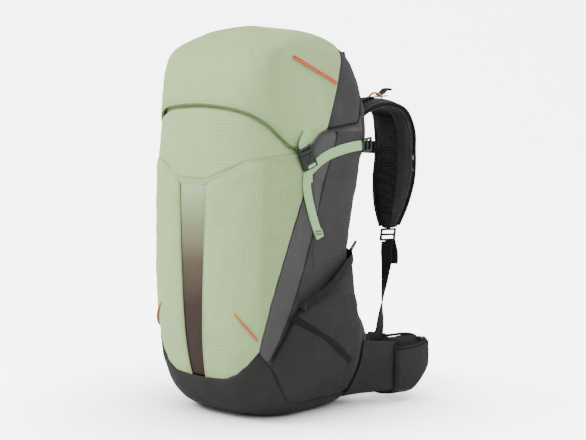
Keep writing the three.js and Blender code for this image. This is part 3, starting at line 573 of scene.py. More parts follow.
def make_materials():
    """Every finish of the backpack, by name."""
    found = {}

    # Ripstop nylon, silicone coated: a soft satin face with a fine raised grid. The real grid of
    # about 5 mm is kept, and the threads between it are drawn at 1.2 mm so that they show.
    found["mint"] = woven("mint_ripstop_nylon", "#b3cd93", "#a4bf85", 0.6, 1.2, 0.6, grid=5.2,
                          shine=0.16)
    # The same ripstop folded double over a bound edge, where the grid closes up.
    found["mint_edge"] = woven("mint_folded_edge", "#9db482", "#8fa674", 0.62, 1.2, 0.3)
    # Bonded seam tape of the same dye, painted darker as the shadow line under the lid's edge.
    found["mint_shadow_line"] = woven("mint_tape_painted_shade", "#7b8a62", "#6c7b55", 0.7, 1.2, 0.2)
    # Nylon oxford, plain weave: dull, with visible crossing yarns, drawn at 1.4 mm where the real
    # are 0.5 mm.
    found["grey"] = woven("grey_nylon_oxford", "#444344", "#3a393a", 0.8, 1.4, 0.4, grid=5.2)
    # The same oxford for the band beside the front pocket, with a painted sheen that makes it
    # paler.
    found["grey_band"] = woven("grey_oxford_band_painted_sheen", "#525152", "#474647", 0.78, 1.4, 0.4)
    found["base_grey"] = woven("dark_nylon_oxford", "#353434", "#2b2a2a", 0.84, 1.6, 0.5)
    # Polyester lining, plain weave: a thin dull cloth.
    found["lining"] = woven("grey_polyester_lining", "#6d706b", "#5c5f5a", 0.85, 1.4, 0.3)
    # Four way stretch woven nylon: matt, with a fine diagonal crepe.
    found["pocket"] = woven("stretch_woven_nylon", "#353433", "#2b2a29", 0.88, 1.1, 0.45,
                            crease=0.8)
    # Closed cell foam faced with brushed polyester.
    found["pad_cover"] = woven("brushed_polyester", "#3a3939", "#302f2f", 0.9, 1.5, 0.5, crease=0.7)

    # Stretch nylon dyed in a fade from mint at the top to brown grey, over a fine vertical knit.
    mat, tree, shader = new_material("graded_stretch_nylon", "#9aa58f", 0.72,
                                     specular_ior_level=0.14)
    u, v = cut_axes(tree)
    strip_length = 296.0
    share = add(tree, "ShaderNodeMapRange", {"From Min": 0.0, "From Max": strip_length},
                {"Value": v})
    ramp = add(tree, "ShaderNodeValToRGB", None, {0: share.outputs[0]})
    stops = [(0.0, "#3a2f2b"), (0.36, "#40332f"), (0.58, "#5e5547"), (0.76, "#878d6b"),
             (0.9, "#a5ba8a"), (1.0, "#b2d3ab")]
    elements = ramp.color_ramp.elements
    while len(elements) < len(stops):
        elements.new(0.5)
    for element, (place, shade) in zip(elements, stops):
        element.position, element.color = place, colour(shade)
    knit = thread_lines(tree, u, 1.8, 0.5)
    feed(tree, shader, base_color=mixed(tree, scaled(tree, knit, 0.18), ramp.outputs[0], "#3c3835"))
    bumped(tree, shader, knit, 0.3)
    found["stripe"] = mat

    # Three layer knitted spacer: rows of open cells about 4 mm apart, with painted shade in each
    # cell.
    mat, tree, shader = new_material("spacer_mesh_polyester", "#2a2928", 0.92,
                                     specular_ior_level=0.1)
    place = add(tree, "ShaderNodeTexCoord")
    cells = add(tree, "ShaderNodeTexVoronoi", {"feature": "SMOOTH_F1", "Scale": 240.0,
                                               "Randomness": 0.25, "Smoothness": 0.4},
                {"Vector": place.outputs["Object"]})
    wall = add(tree, "ShaderNodeMapRange", {"From Min": 0.15, "From Max": 0.5},
               {"Value": cells.outputs[0]})
    # The dark cell centres are painted shade in the holes.
    feed(tree, shader, base_color=mixed(tree, wall.outputs[0], "#121212", "#2e2d2d"))
    bumped(tree, shader, wall.outputs[0], 1.1)
    found["mesh"] = mat

    # Nylon webbing: needle loom ribs along the strap, a low shine and a painted highlight on each
    # rib.
    found["black_web"] = webbing("black_nylon_webbing", "#2a2a2a", "#181818", 0.7)
    found["mint_web"] = webbing("mint_nylon_webbing", "#bfe3aa", "#93bd83", 0.62)
    found["binding"] = webbing("grosgrain_binding", "#262626", "#171717", 0.8, ribs=1.2)

    # Braided polyester sheath: crossing strands, drawn at 2.4 mm where the real are under 1 mm.
    mat, tree, shader = new_material("orange_braided_cord", "#e0641c", 0.55, sheen_weight=0.3)
    u, v = cut_axes(tree)
    one = thread_lines(tree, summed(tree, u, v), 2.4, 0.55)
    two = thread_lines(tree, summed(tree, u, v, "SUBTRACT"), 2.4, 0.55)
    braid = summed(tree, one, two, "MAXIMUM")
    # The gaps between the strands are painted darker as shade, the strands lighter.
    feed(tree, shader, base_color=mixed(tree, braid, "#b3400a", "#f0691c"))
    bumped(tree, shader, braid, 0.35)
    found["orange"] = mat

    # Injection moulded acetal: even black, satin from a finely sparked mould, rubbed a little
    # smoother.
    mat, tree, shader = new_material("moulded_acetal", "#1f2021", 0.42, specular_ior_level=0.5,
                                     ior=1.48)
    grain = blotches(tree, 0.9, 2.0)
    feed(tree, shader, roughness=scaled(tree, blotches(tree, 14.0), 0.2, 0.34),
         base_color=mixed(tree, blotches(tree, 30.0), "#1b1c1d", "#292a2b"))
    bumped(tree, shader, grain, 0.06)
    found["plastic"] = mat

    # Drawn and anodised aluminium rod: fine lines along the metal that spread the shine.
    mat, tree, shader = new_material("drawn_aluminium_rod", "#b8bbbf", 0.32, metallic=1.0)
    place = add(tree, "ShaderNodeTexCoord")
    stretch = add(tree, "ShaderNodeMapping", {"Scale": (900.0, 900.0, 18.0)},
                  {"Vector": place.outputs["Object"]})
    lines = add(tree, "ShaderNodeTexNoise", {"Scale": 1.0, "Detail": 2.0},
                {"Vector": stretch.outputs[0]})
    feed(tree, shader, roughness=scaled(tree, lines.outputs[0], 0.22, 0.22))
    bumped(tree, shader, lines.outputs[0], 0.05)
    found["metal"] = mat

    # Bonded polyester thread: a slight twist and shine.
    for key, name, shade in (("thread_dark", "dark_polyester_thread", "#232322"),
                             ("thread_mint", "mint_polyester_thread", "#a3b497"),
                             ("thread_grey", "grey_polyester_thread", "#6e7071")):
        mat, tree, shader = new_material(name, shade, 0.6, sheen_weight=0.2)
        bumped(tree, shader, blotches(tree, 0.8, 2.0), 0.1)
        found[key] = mat

    # Nylon coil zip: wound monofilament, black with a low shine.
    mat, tree, shader = new_material("nylon_coil_zip", "#1d1d1d", 0.5, specular_ior_level=0.45)
    bumped(tree, shader, blotches(tree, 1.0, 2.0), 0.08)
    found["zip"] = mat

    # Opal acrylic sweep lit from behind: the camera sees its glow, which lights nothing else.
    mat, tree, shader = new_material("white_acrylic_sweep", "#f4f4f4", 0.7,
                                     emission_color=colour("#ffffff"))
    # The glow is weaker where the backpack stands close: a painted contact shadow.
    seen = add(tree, "ShaderNodeLightPath").outputs["Is Camera Ray"]
    open_sky = add(tree, "ShaderNodeAmbientOcclusion",
                   {"Distance": 0.3, "samples": 8}).outputs["AO"]
    shade = add(tree, "ShaderNodeMath", {"operation": "POWER", 1: 2.5}, {0: open_sky}).outputs[0]
    feed(tree, shader, base_color=mixed(tree, blotches(tree, 400.0), "#f6f6f6", "#f1f1f1"),
         emission_strength=scaled(tree, summed(tree, seen, shade, "MULTIPLY"), FLOOR_GLOW))
    found["floor"] = mat
    return found


MATS = make_materials()


# ---------------------------------------------------------------- rows that repeat along a path
def repeat_tree(name, mat, stretch):
    """A tree that sets one small piece at even steps along a path, turned to follow it."""
    tree = bpy.data.node_groups.new(name, "GeometryNodeTree")
    face = tree.interface
    face.new_socket("Geometry", in_out="INPUT", socket_type="NodeSocketGeometry")
    for label, default in (("Spacing", 0.004), ("Size", 0.001), ("Tilt", 0.0)):
        face.new_socket(label, in_out="INPUT",
                        socket_type="NodeSocketFloat").default_value = default
    face.new_socket("Seed", in_out="INPUT", socket_type="NodeSocketInt").default_value = 7
    face.new_socket("Geometry", in_out="OUTPUT", socket_type="NodeSocketGeometry")
    start = add(tree, "NodeGroupInput")
    curve = add(tree, "GeometryNodeMeshToCurve", None, {"Mesh": start.outputs["Geometry"]})
    points = add(tree, "GeometryNodeCurveToPoints", {"mode": "LENGTH"},
                 {"Curve": curve.outputs[0], "Length": start.outputs["Spacing"]})
    bead = add(tree, "GeometryNodeMeshIcoSphere", {"Radius": 1.0, "Subdivisions": 1})
    shape = add(tree, "GeometryNodeTransform", {"Scale": stretch}, {"Geometry": bead.outputs[0]})
    shake = add(tree, "FunctionNodeRandomValue", {"data_type": "FLOAT", 2: 0.9, 3: 1.1},
                {"Seed": start.outputs["Seed"]})
    size = add(tree, "ShaderNodeMath", {"operation": "MULTIPLY"},
               {0: start.outputs["Size"], 1: shake.outputs[1]})
    spin = add(tree, "ShaderNodeCombineXYZ", None, {0: start.outputs["Tilt"]})
    lean = add(tree, "FunctionNodeRotateRotation", {"rotation_space": "LOCAL"},
               {0: points.outputs["Rotation"], 1: spin.outputs[0]})
    placed = add(tree, "GeometryNodeInstanceOnPoints", None,
                 {"Points": points.outputs["Points"], "Instance": shape.outputs[0],
                  "Rotation": lean.outputs[0], "Scale": size.outputs[0]})
    real = add(tree, "GeometryNodeRealizeInstances", None, {0: placed.outputs[0]})
    done = add(tree, "GeometryNodeSetMaterial", {"Material": mat}, {"Geometry": real.outputs[0]})
    add(tree, "NodeGroupOutput", None, {0: done.outputs[0]})
    return tree


def baked(obj, tree, values):
    """Runs a tree on an object's mesh and keeps the plain result."""
    modifier = obj.modifiers.new("row", "NODES")
    modifier.node_group = tree
    for item in tree.interface.items_tree:
        if item.item_type == "SOCKET" and item.in_out == "INPUT" and item.name in values:
            modifier[item.identifier] = values[item.name]
    old = obj.data
    obj.data = settled(obj)
    bpy.data.meshes.remove(old)
    return obj


TREES = {f"stitch_{dye}": repeat_tree(f"stitches_{dye}", MATS[f"thread_{dye}"], (0.5, 0.5, 1.75))
         for dye in ("dark", "mint", "grey")}
TREES["zip_teeth"] = repeat_tree("zip_teeth", MATS["zip"], (1.9, 0.8, 0.55))


def row(name, kind, routes, spacing, size):
    """Stitches or teeth along one or more routes, as one mesh."""
    verts, edges = [], []
    for route in routes:
        route = np.asarray(route, float)[:, :3]
        first = len(verts)
        verts.extend((route * MM).tolist())
        edges.extend((first + k, first + k + 1) for k in range(len(route) - 1))
    mesh = bpy.data.meshes.new(name)
    mesh.from_pydata(verts, edges, [])
    return baked(linked(name, mesh), TREES[kind], {"Spacing": spacing * MM, "Size": size * MM,
                                                   "Seed": 11})


def stitched(name, kind, routes, body, slot, spacing=4.0, size=1.0):
    return fasten(row(name, kind, routes, spacing, size), body)


# ---------------------------------------------------------------- sizes a user may change
class BackpackSizes(bpy.types.PropertyGroup):
    """Sizes of the soft pieces, in metres."""

    puff: bpy.props.FloatProperty(name="Panel fullness",
                                  description="How far a packed panel swells between its seams",
                                  default=0.003, min=0.0, max=0.006, unit="LENGTH")
    crease: bpy.props.FloatProperty(name="Crease depth",
                                    description="Height of the soft creases in the fabric",
                                    default=0.0018, min=0.0, max=0.004, unit="LENGTH")
    fabric: bpy.props.FloatProperty(name="Fabric wall", description="Thickness of a bag panel",
                                    default=0.0018, min=0.0008, max=0.003, unit="LENGTH")
    piping: bpy.props.FloatProperty(name="Piping radius",
                                    description="Radius of the bound edge of the lid",
                                    default=0.0009, min=0.0008, max=0.003, unit="LENGTH")
    strap_width: bpy.props.FloatProperty(name="Compression strap",
                                         description="Width of the side webbing", default=0.015,
                                         min=0.01, max=0.02, unit="LENGTH")
    harness_width: bpy.props.FloatProperty(name="Harness webbing",
                                           description="Width of the shoulder webbing",
                                           default=0.020, min=0.015, max=0.025, unit="LENGTH")
    belt_width: bpy.props.FloatProperty(name="Hip belt",
                                        description="Width of the hip belt's webbing",
                                        default=0.025, min=0.02, max=0.03, unit="LENGTH")
    webbing: bpy.props.FloatProperty(name="Webbing thickness",
                                     description="Thickness of the side and harness webbing",
                                     default=0.0016, min=0.001, max=0.0025, unit="LENGTH")
    pad: bpy.props.FloatProperty(name="Shoulder padding",
                                 description="Thickness of a shoulder pad at its middle",
                                 default=0.017, min=0.012, max=0.02, unit="LENGTH")


class BackpackStage(bpy.types.PropertyGroup):
    """The studio round the backpack."""

    lens: bpy.props.FloatProperty(name="Lens", description="Focal length of the camera",
                                  default=93.8, min=20, max=200, unit="CAMERA")
    key_power: bpy.props.FloatProperty(name="Key light", description="Power of the large light",
                                       default=180.0, min=0, unit="POWER")
    sky: bpy.props.FloatVectorProperty(name="Sky", description="Colour of the light from all round",
                                       default=(1, 1, 1), subtype="COLOR")


def sizes():
    return bpy.context.scene.backpack_sizes


# ---------------------------------------------------------------- the studio
class BACKPACK_OT_stage(bpy.types.Operator):
    """Sets the floor, the lights and the camera"""

    bl_idname = "backpack.stage"
    bl_label = "Stage and camera"

    def execute(self, context):
        scene, setup = context.scene, context.scene.backpack_stage

        def placed(name, data, place, aim):
            obj = linked(name, data)
            obj.location = place
            obj.rotation_euler = (Vector(aim) - Vector(place)).to_track_quat("-Z", "Y").to_euler()
            return obj
        camera = placed("camera", bpy.data.cameras.new("camera"), CAMERA_PLACE, CAMERA_AIM)
        camera.data.lens, camera.data.sensor_width = setup.lens, 36.0
        scene.camera = camera

        # The floor runs back into a curved wall.
        bend = np.linspace(0, math.pi / 2, 40)
        profile = [(-FLOOR_REACH, 0.0), *zip(WALL_START + WALL_RADIUS * np.sin(bend),
                                             WALL_RADIUS - WALL_RADIUS * np.cos(bend)),
                   (WALL_START + WALL_RADIUS, WALL_TOP)]
        away = np.array([-1, 1]) * math.sqrt(0.5)
        across = np.array([1, 1]) * math.sqrt(0.5)
        verts = [np.array([*(away * reach + across * side), height]) / MM
                 for side in (-FLOOR_REACH, FLOOR_REACH) for reach, height in profile]
        n = len(profile)
        faces = [(k, n + k, n + k + 1, k + 1) for k in range(n - 1)]
        new_object("studio_floor", verts, faces, [v[:2] for v in verts], [MATS["floor"]])

        world = bpy.data.worlds.new("studio")
        world.use_nodes = True
        world.node_tree.nodes.clear()
        back = add(world.node_tree, "ShaderNodeBackground", {"Color": (*setup.sky, 1.0),
                                                             "Strength": SKY_STRENGTH})
        add(world.node_tree, "ShaderNodeOutputWorld", None, {"Surface": back.outputs[0]})
        scene.world = world
        lamps = (("key", (-1.9, -2.0, 2.5), 1.6, 1.0), ("side", (2.6, -0.6, 1.7), 1.6, 0.22),
                 ("rear", (0.6, 2.4, 2.2), 1.8, 0.40))
        for name, place, size, share in lamps:
            lamp = bpy.data.lights.new(name, "AREA")
            lamp.shape, lamp.size, lamp.energy = "DISK", size, setup.key_power * share
            placed(name, lamp, place, LAMP_AIM)
        return {"FINISHED"}


# ---------------------------------------------------------------- bag panels
def lined(a, b, t):
    return a + (b - a) * t


def level(height):
    """An edge at one height all the way along."""
    return lambda a: 0 * a + height


def bag_panel(name, start, end, low, high, mat, cols=60, rows=60, puff=None, pull=2.0, crease=None,
              seed=0.0, inset=None, thick=None, edges=(1, 1, 1, 1), gather=0.0, wrap=False):
    """A panel of the bag between two seams.

    start and end are its side edges' angles, each one value or a lower and an upper one. edges says
    which of the left, right, lower and upper edges are pulled in.
    """
    size = sizes()
    puff = size.puff / MM if puff is None else puff
    crease = size.crease / MM if crease is None else crease
    thick = size.fabric / MM if thick is None else thick
    start, end = np.broadcast_to(start, 2), np.broadcast_to(end, 2)
    s = (np.arange(cols) / cols if wrap else np.linspace(0, 1, cols))[None, :]
    t = np.linspace(0, 1, rows)[:, None]
    a = lined(lined(start[0], start[1], t), lined(end[0], end[1], t), s)
    z = low(a) + (high(a) - low(a)) * t
    base = skin(a, z)
    u, v = distances(base, 1), distances(base, 0)
    w, h = u[:, -1:], v[-1:, :]
    us, vs = np.clip(u / np.maximum(w, 1), 0, 1), np.clip(v / np.maximum(h, 1), 0, 1)
    if wrap:
        belly = np.sin(np.pi * vs) ** 0.7
        near = 0.0
    else:
        belly = (np.sin(np.pi * us) * np.sin(np.pi * vs)) ** 0.6
        near = edges[0] * np.exp(-u / SEAM_REACH) + edges[1] * np.exp(-(w - u) / SEAM_REACH)
    near = near + edges[2] * np.exp(-v / SEAM_REACH) + edges[3] * np.exp(-(h - v) / SEAM_REACH)
    folds = ripple(base, 46, seed) + 0.45 * ripple(base, 19, seed + 3)
    depth = -puff * belly + pull * near - crease * folds * (1 - np.clip(near, 0, 1))
    if gather:
        shirr = edges[2] * np.exp(-v / SHIRR_REACH) + edges[3] * np.exp(-(h - v) / SHIRR_REACH)
        depth = depth - gather * np.sin(u / SHIRR_STEP + 3 * ripple(base, 30, seed + 9)) * shirr
    if inset is not None:
        depth = depth + inset(a, z)
    return sheet_mesh(name, skin(a, z, depth), thick, mat, wrap=wrap)


def under_lid(a, z):
    """How far the bag steps in below the lid's edge."""
    edge = seam(LID_EDGE, a)
    return UNDER_LID * smooth(z, edge - 12, edge - 2)


def banded(obj):
    """Gives the band ahead of the side seam its cloth, painted paler as sheen."""
    mesh = obj.data
    mesh.materials.append(MATS["grey_band"])
    middle = np.empty(len(mesh.polygons) * 3)
    mesh.polygons.foreach_get("center", middle)
    x, y, z = middle.reshape(-1, 3).T / MM
    ahead = z > np.interp(np.degrees(np.arctan2(np.abs(x), -y)), *zip(*BAND_SEAM))
    mesh.polygons.foreach_set("material_index", ahead.astype(np.int32))
    return obj


class BACKPACK_OT_bag(bpy.types.Operator):
    """Builds the base, the front, the sides, the back and the collar of the bag"""

    bl_idname = "backpack.bag"
    bl_label = "Bag"

    def execute(self, context):
        grey, dark = MATS["grey"], MATS["base_grey"]
        turn = np.arange(0, 360, 2.5)
        top = seam(BASE_SEAM, turn) + 0.5
        rings = [skin(turn, 0.0 * turn) * [share, share, 1] for share in np.linspace(0.12, 0.94, 9)]
        rise = np.linspace(0, 1, 26)[:, None]
        z = top[None] * rise
        side = skin(np.broadcast_to(turn, z.shape), z)
        near = np.exp(-(top[None] - z) / SEAM_REACH)
        folds = ripple(side, 40, 5.0) + 0.5 * ripple(side, 17, 8.0)
        lift = smooth(z, 2, 16)
        side = skin(np.broadcast_to(turn, z.shape), z, 1.6 * near - 1.5 * folds * lift * (1 - near)
                    - 1.2 * lift)
        grid = np.concatenate([np.stack(rings), side])
        base = sheet_mesh("bag_base", grid, 2.0, dark, wrap=True, tips=(True, False))
        fasten(base, "bag", ["base_panel"])

        def behind_pocket(a, z):
            step = 10.8 * (1 - smooth(z, 326, 352)) * (z >= 330)
            return np.where(z < 330, 12.0, 0) + (1 - np.abs(a) / 110) * 1.2 + step + under_lid(a, z)
        front = bag_panel("bag_front", -82.8, 82.8, level(60), level(BODY_TOP), MATS["mint"],
                          cols=150, rows=90, puff=0, crease=1.5, seed=2.0, edges=(0, 0, 0, 0),
                          inset=behind_pocket)
        fasten(front, "bag", ["front_panel"])

        def low_side(a):
            return seam(BASE_SEAM, a) + 0.3

        def high_side(a):
            return np.where(a <= 83.2, seam(GREEN_SEAM, np.minimum(a, 83)) - 0.6,
                            lined(375.0, BODY_TOP, smooth(a, 83.2, 83.9)))
        both(lambda n: banded(bag_panel(n, 48.6, 127.9, low_side, high_side, grey, cols=130,
                                        rows=110, puff=1.8, pull=1.6, crease=1.9, seed=4.0,
                                        inset=under_lid, edges=(0, 1, 1, 0))), "side_panel", "bag",
             ["side_panel"])
        seam_angle, seam_z = smooth_route([(a, z, 0) for a, z in BAND_SEAM], 90)[:, :2].T

        def band_seam(name):
            return tube(name, skin(seam_angle, seam_z, under_lid(seam_angle, seam_z) - 1.5), 1.1,
                        dark, sides=8)
        both(band_seam, "side_band_seam", "bag")
        back = bag_panel("back_panel", 128.1, 231.9, lambda a: seam(BASE_SEAM, a) + 0.3,
                         lambda a: np.minimum(BODY_TOP, seam(LID_EDGE, a) - 1), grey, cols=110,
                         rows=110, puff=1.0, crease=1.2, seed=6.0)
        fasten(back, "bag", ["back_panel"])

        def gathered(a, z):
            turn = np.radians(a)
            return (11 + 6 * smooth(z, 470, 500)
                    + 1.4 * np.sin(turn * 34 + np.sin(turn * 5)) * smooth(z, 478, 500))
        collar = bag_panel("snow_collar", 0, 360, level(452), level(500), dark, cols=180,
                           rows=18, puff=0, pull=0, crease=0.6, seed=7.0, thick=1.4, wrap=True,
                           inset=gathered)
        fasten(collar, "bag", ["top_collar"])
        around = np.linspace(4.6, 355.4, 120)
        hem = skin(around, 0 * around + 500, 18.0)
        hem[:, 2] = 501.9
        fasten(tube("collar_drawcord_sheath", hem, 1.5, MATS["black_web"], sides=10), "bag",
               ["collar_drawcord"])
        return {"FINISHED"}


# ---------------------------------------------------------------- front and side pockets
def pocket_foot(a):
    m = np.abs(a)
    return np.where(m < 48, seam(BASE_SEAM, m), seam(GREEN_SEAM, m)) + 1.0


def pocket_across(a):
    return np.sin(np.pi * np.clip((a - POCKET_ARC[0]) / POCKET_ARC[1], 0, 1))


def pocket_swell(a, z):
    """How far a side pocket stands off the bag's form."""
    return 2.2 + POCKET_BELLY * pocket_across(a) * smooth(z, 20, 110)


class BACKPACK_OT_pockets(bpy.types.Operator):
    """Builds the front pocket, its graded stretch strip and the two side pockets"""

    bl_idname = "backpack.pockets"
    bl_label = "Pockets"

    def execute(self, context):
        mint = MATS["mint"]

        def mouth_lean(a, z):
            rim = seam(POCKET_MOUTH, a)
            return 1.4 * smooth(z, rim - 14, rim) - 1.0 * np.exp(-((z - rim + 20) / 9) ** 2)
        both(lambda n: bag_panel(n, STRIPE_EDGE, 82.4, pocket_foot, lambda a: seam(POCKET_MOUTH, a),
                                 mint, cols=90, rows=130, puff=3.0, pull=1.5, crease=1.9, seed=1.0,
                                 inset=mouth_lean, gather=0.35, edges=(0.9, 1, 1, 0.2)),
             "front_pocket", "bag", ["front_pocket"])
        tuck = [a + 1.2 for a in STRIPE_EDGE]
        strip = bag_panel("graded_strip", [-a for a in tuck], tuck, pocket_foot,
                          lambda a: seam(POCKET_MOUTH, a) - 3, MATS["stripe"], cols=24, rows=120,
                          puff=1.2, pull=0.8, crease=0.7, seed=3.0, thick=1.2,
                          inset=lambda a, z: 0 * a + 2.9)
        fasten(strip, "bag", ["stretch_stripe"])

        # Bound edges: the strip's two sides and the pocket's mouth.
        t = np.linspace(0, 1, 60)
        edge_angle = lined(STRIPE_EDGE[0], STRIPE_EDGE[1], t)
        edge_z = lined(pocket_foot(edge_angle), seam(POCKET_MOUTH, edge_angle), t)
        both(lambda n: tube(n, skin(edge_angle, edge_z, 1.5), 1.5, mint, sides=8), "strip_edge",
             "bag")
        mouth = np.linspace(-82, 82, 120)
        rim = skin(mouth, seam(POCKET_MOUTH, mouth), 1.0)
        fasten(tube("pocket_mouth_binding", rim, 1.3, MATS["mint_edge"], sides=8, count=220), "bag")
        below = [skin(mouth, seam(POCKET_MOUTH, mouth) - 7, -0.1)]
        stitched("pocket_mouth_stitches", "stitch_mint", below, "bag", "mint_ripstop", 4.2, 0.9)
        for side, sign in SIDES:
            stitched(f"strip_stitches_{side}", "stitch_mint",
                     [skin(sign * (edge_angle + 2.2), edge_z, 0.1)], "bag", "mint_ripstop", 4.2,
                     0.9)

        def bulge(a, z):
            rim = seam(SIDE_POCKET_MOUTH, a)
            return 3.5 * smooth(z, rim - SHIRR_REACH, rim) * pocket_across(a) - pocket_swell(a, z)
        both(lambda n: bag_panel(n, 55.5, 124, lambda a: seam(BASE_SEAM, a) + 3,
                                 lambda a: seam(SIDE_POCKET_MOUTH, a), MATS["pocket"], cols=90,
                                 rows=80, puff=0.5, pull=1.4, crease=2.2, seed=9.0, thick=1.5,
                                 inset=bulge, gather=0.9, edges=(1, 1, 1, 0.5)), "side_pocket",
             "bag", ["side_pocket"])
        span = np.linspace(56.5, 123.5, 60)
        rim_z = seam(SIDE_POCKET_MOUTH, span)
        for side, sign in SIDES:
            hem = skin(sign * span, rim_z, bulge(span, rim_z) - 0.2)
            fasten(tube(f"side_pocket_hem_{side}", hem, 1.9, MATS["binding"], sides=8), "bag")
        return {"FINISHED"}


# ---------------------------------------------------------------- lid
def lid_foot(a):
    m = np.abs(((a + 180) % 360) - 180)
    return np.where(m < 98, seam(LID_EDGE, m), seam(LID_COLOUR_SEAM, m))


class BACKPACK_OT_lid(bpy.types.Operator):
    """Builds the lid, its back, its pocket floor, its bound edge, its cord and its zip"""

    bl_idname = "backpack.lid"
    bl_label = "Lid"

    def execute(self, context):
        turn = np.arange(-180, 180, 2.0)
        t = np.linspace(0, 0.992, 84)[:, None]
        low = lid_foot(turn)[None]
        z = low + (HEIGHT - low) * np.sin(np.pi / 2 * t)
        a = np.broadcast_to(turn, z.shape)
        base = skin(a, z)
        v = distances(base, 0)
        near = np.exp(-v / SEAM_REACH)
        corner = sum(np.exp(-(((((a - c + 180) % 360) - 180) / 9) ** 2)) for c in (40, -40))
        fold = corner * smooth(z, 505, 545) * (1 - smooth(z, 562, 576))
        folds = ripple(base, 52, 11.0) + 0.5 * ripple(base, 21, 13.0)
        depth = 1.2 * near - 2.0 * folds * (
            1 - near) * (1 - smooth(z, 566, HEIGHT)) + 2.4 * fold * np.sin(a * 0.42)
        shape = skin(a, z, depth - 1.6 * np.sin(np.pi * np.clip(t, 0, 1)) * (z < 560))
        crown = smooth(z, 548, HEIGHT)
        shape[..., 2] += 1.6 * crown * (folds - 0.3)
        # The cloth is cut with its grid centred on the front.
        u = distances(shape, 1)
        cut = np.stack([u - u[:, len(turn) // 2][:, None], distances(shape, 0)], -1)
        lid = sheet_mesh("lid_top", shape, 2.0, MATS["mint"], wrap=True, tips=(False, True), uv=cut)
        fasten(lid, "lid", ["lid_shell"])

        back = bag_panel("lid_rear", 99, 261, lambda a: seam(LID_EDGE, a),
                         lambda a: seam(LID_COLOUR_SEAM, a) - 0.6, MATS["grey"], cols=150, rows=40,
                         puff=0.8, pull=1.2, crease=1.2, seed=15.0)
        fasten(back, "lid", ["lid_back"])
        floor_grid = np.stack([skin(turn, 0 * turn + 521.6, 7.5) * [s, s, 1]
                               for s in np.linspace(0.08, 1, 14)])
        floor_grid[..., 2] -= 0.6 * (1 + ripple(floor_grid, 40, 17.0)) * np.linspace(1, 0,
                                                                                     14)[:, None]
        floor = sheet_mesh("lid_pocket_floor", floor_grid, 1.2, MATS["lining"], wrap=True,
                           tips=(True, False))
        fasten(floor, "lid", ["lid_floor"])

        # The front piping's darker mint is painted shade for the shadow line under the lid's edge.
        for name, first, last, mat, slot in (("lid_edge_front", -97, 97, "mint_shadow_line",
                                              "mint_ripstop"), ("lid_edge_back", 97, 263, "binding",
                                                                "dark_fabric")):
            ring = np.arange(first, last + 0.1, 2.0)
            edge = skin(ring, seam(LID_EDGE, ring), 0.5)
            fasten(tube(name, edge, sizes().piping / MM, MATS[mat], sides=8, count=300), "lid")
        front = np.linspace(-96, 96, 150)
        rows = [skin(front, seam(LID_EDGE, front) + lift, -0.3) for lift in (6.0, 9.5)]
        stitched("lid_edge_stitches", "stitch_mint", rows, "lid", "mint_ripstop", 4.2, 0.85)

        # The orange cord is doubled along the lid's side ridge.
        cord_route = [(73, 529), (77.5, 525), (82, 520.5), (87, 515.5), (92, 510.5), (97, 505.5),
                      (102, 500.5), (106, 496), (110, 491)]
        lines = []
        for gap in (-1.45, 1.45):
            route = on_skin([(angle + gap * 0.35, z + gap * 0.9) for angle, z in cord_route], 2.2)
            lines.append(tube(f"lid_cord_run_{'low' if gap < 0 else 'high'}", route, 1.35,
                              MATS["orange"], sides=8))
        fasten(lines[0], "lid", ["lid_cord"])
        fasten(lines[1], "lid")

        # The zip runs across the back of the lid.
        half, z0 = 92.0, 530.0
        face = skin(180.0, z0 - 4, 0)[1] + 2.2
        tape = ribbon("lid_zip_tape", [(x, face - 0.9, z0, 0, 1, 0)
                                       for x in np.linspace(half, -half, 9)], 16, 1.2,
                      MATS["binding"], count=70)
        fasten(tape, "lid", ["lid_zip"])
        teeth = [np.array([(x, face + 0.1, z0 + dz) for x in np.linspace(half - 2, -half + 2, 80)])
                 for dz in (-1.1, 1.1)]
        fasten(row("lid_zip_coil", "zip_teeth", teeth, 1.9, 0.8), "lid")
        return {"FINISHED"}


# ---------------------------------------------------------------- fittings
def softened(node, name, body, bevel=0.5):
    """A finer copy of a moulded node, with its moulded edges rounded, that stands for it."""
    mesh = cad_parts[node].data.copy()
    mesh.name = name
    obj = linked(name, mesh)
    mesh.materials.clear()
    mesh.materials.append(MATS["plastic"])
    weld = obj.modifiers.new("weld", "WELD")
    weld.merge_threshold = 0.02 * MM
    flat = obj.modifiers.new("flat", "DECIMATE")
    flat.decimate_type, flat.angle_limit = "DISSOLVE", math.radians(2)
    return fasten(bevelled(obj, bevel, 3, 35), body, [node])


def on_skin(route, out):
    """Stations laid on the bag: rows of angle and height, moved out along the normal."""
    return [np.concatenate(off_skin(float(angle), float(z), o))
            for (angle, z), o in zip(route, np.broadcast_to(out, len(route)))]


BUCKLE_SEAT, BUCKLE_OUT = off_skin(77.0, 381.0, 7.3)
BUCKLE_UP = np.array([0.0, -0.36, 0.93])
BUCKLE_UP = unit(BUCKLE_UP - BUCKLE_OUT * BUCKLE_UP.dot(BUCKLE_OUT))
BUCKLE_ACROSS = np.cross(BUCKLE_UP, BUCKLE_OUT)


def from_buckle(across, up, out):
    return BUCKLE_SEAT + BUCKLE_ACROSS * across + BUCKLE_UP * up + BUCKLE_OUT * out


def moulding(name, outline, low, high, at, mat, bevel):
    """A flat moulded piece: an outline across and up, between two heights, with rounded edges."""
    n = len(outline)
    verts = [at(x, y, low) for x, y in outline] + [at(x, y, high) for x, y in outline]
    faces = [tuple(range(n))[::-1], tuple(range(n, 2 * n))]
    faces += [(k, (k + 1) % n, n + (k + 1) % n, n + k) for k in range(n)]
    return bevelled(new_object(name, verts, faces, list(outline) * 2, [mat]), bevel, 2, 30)


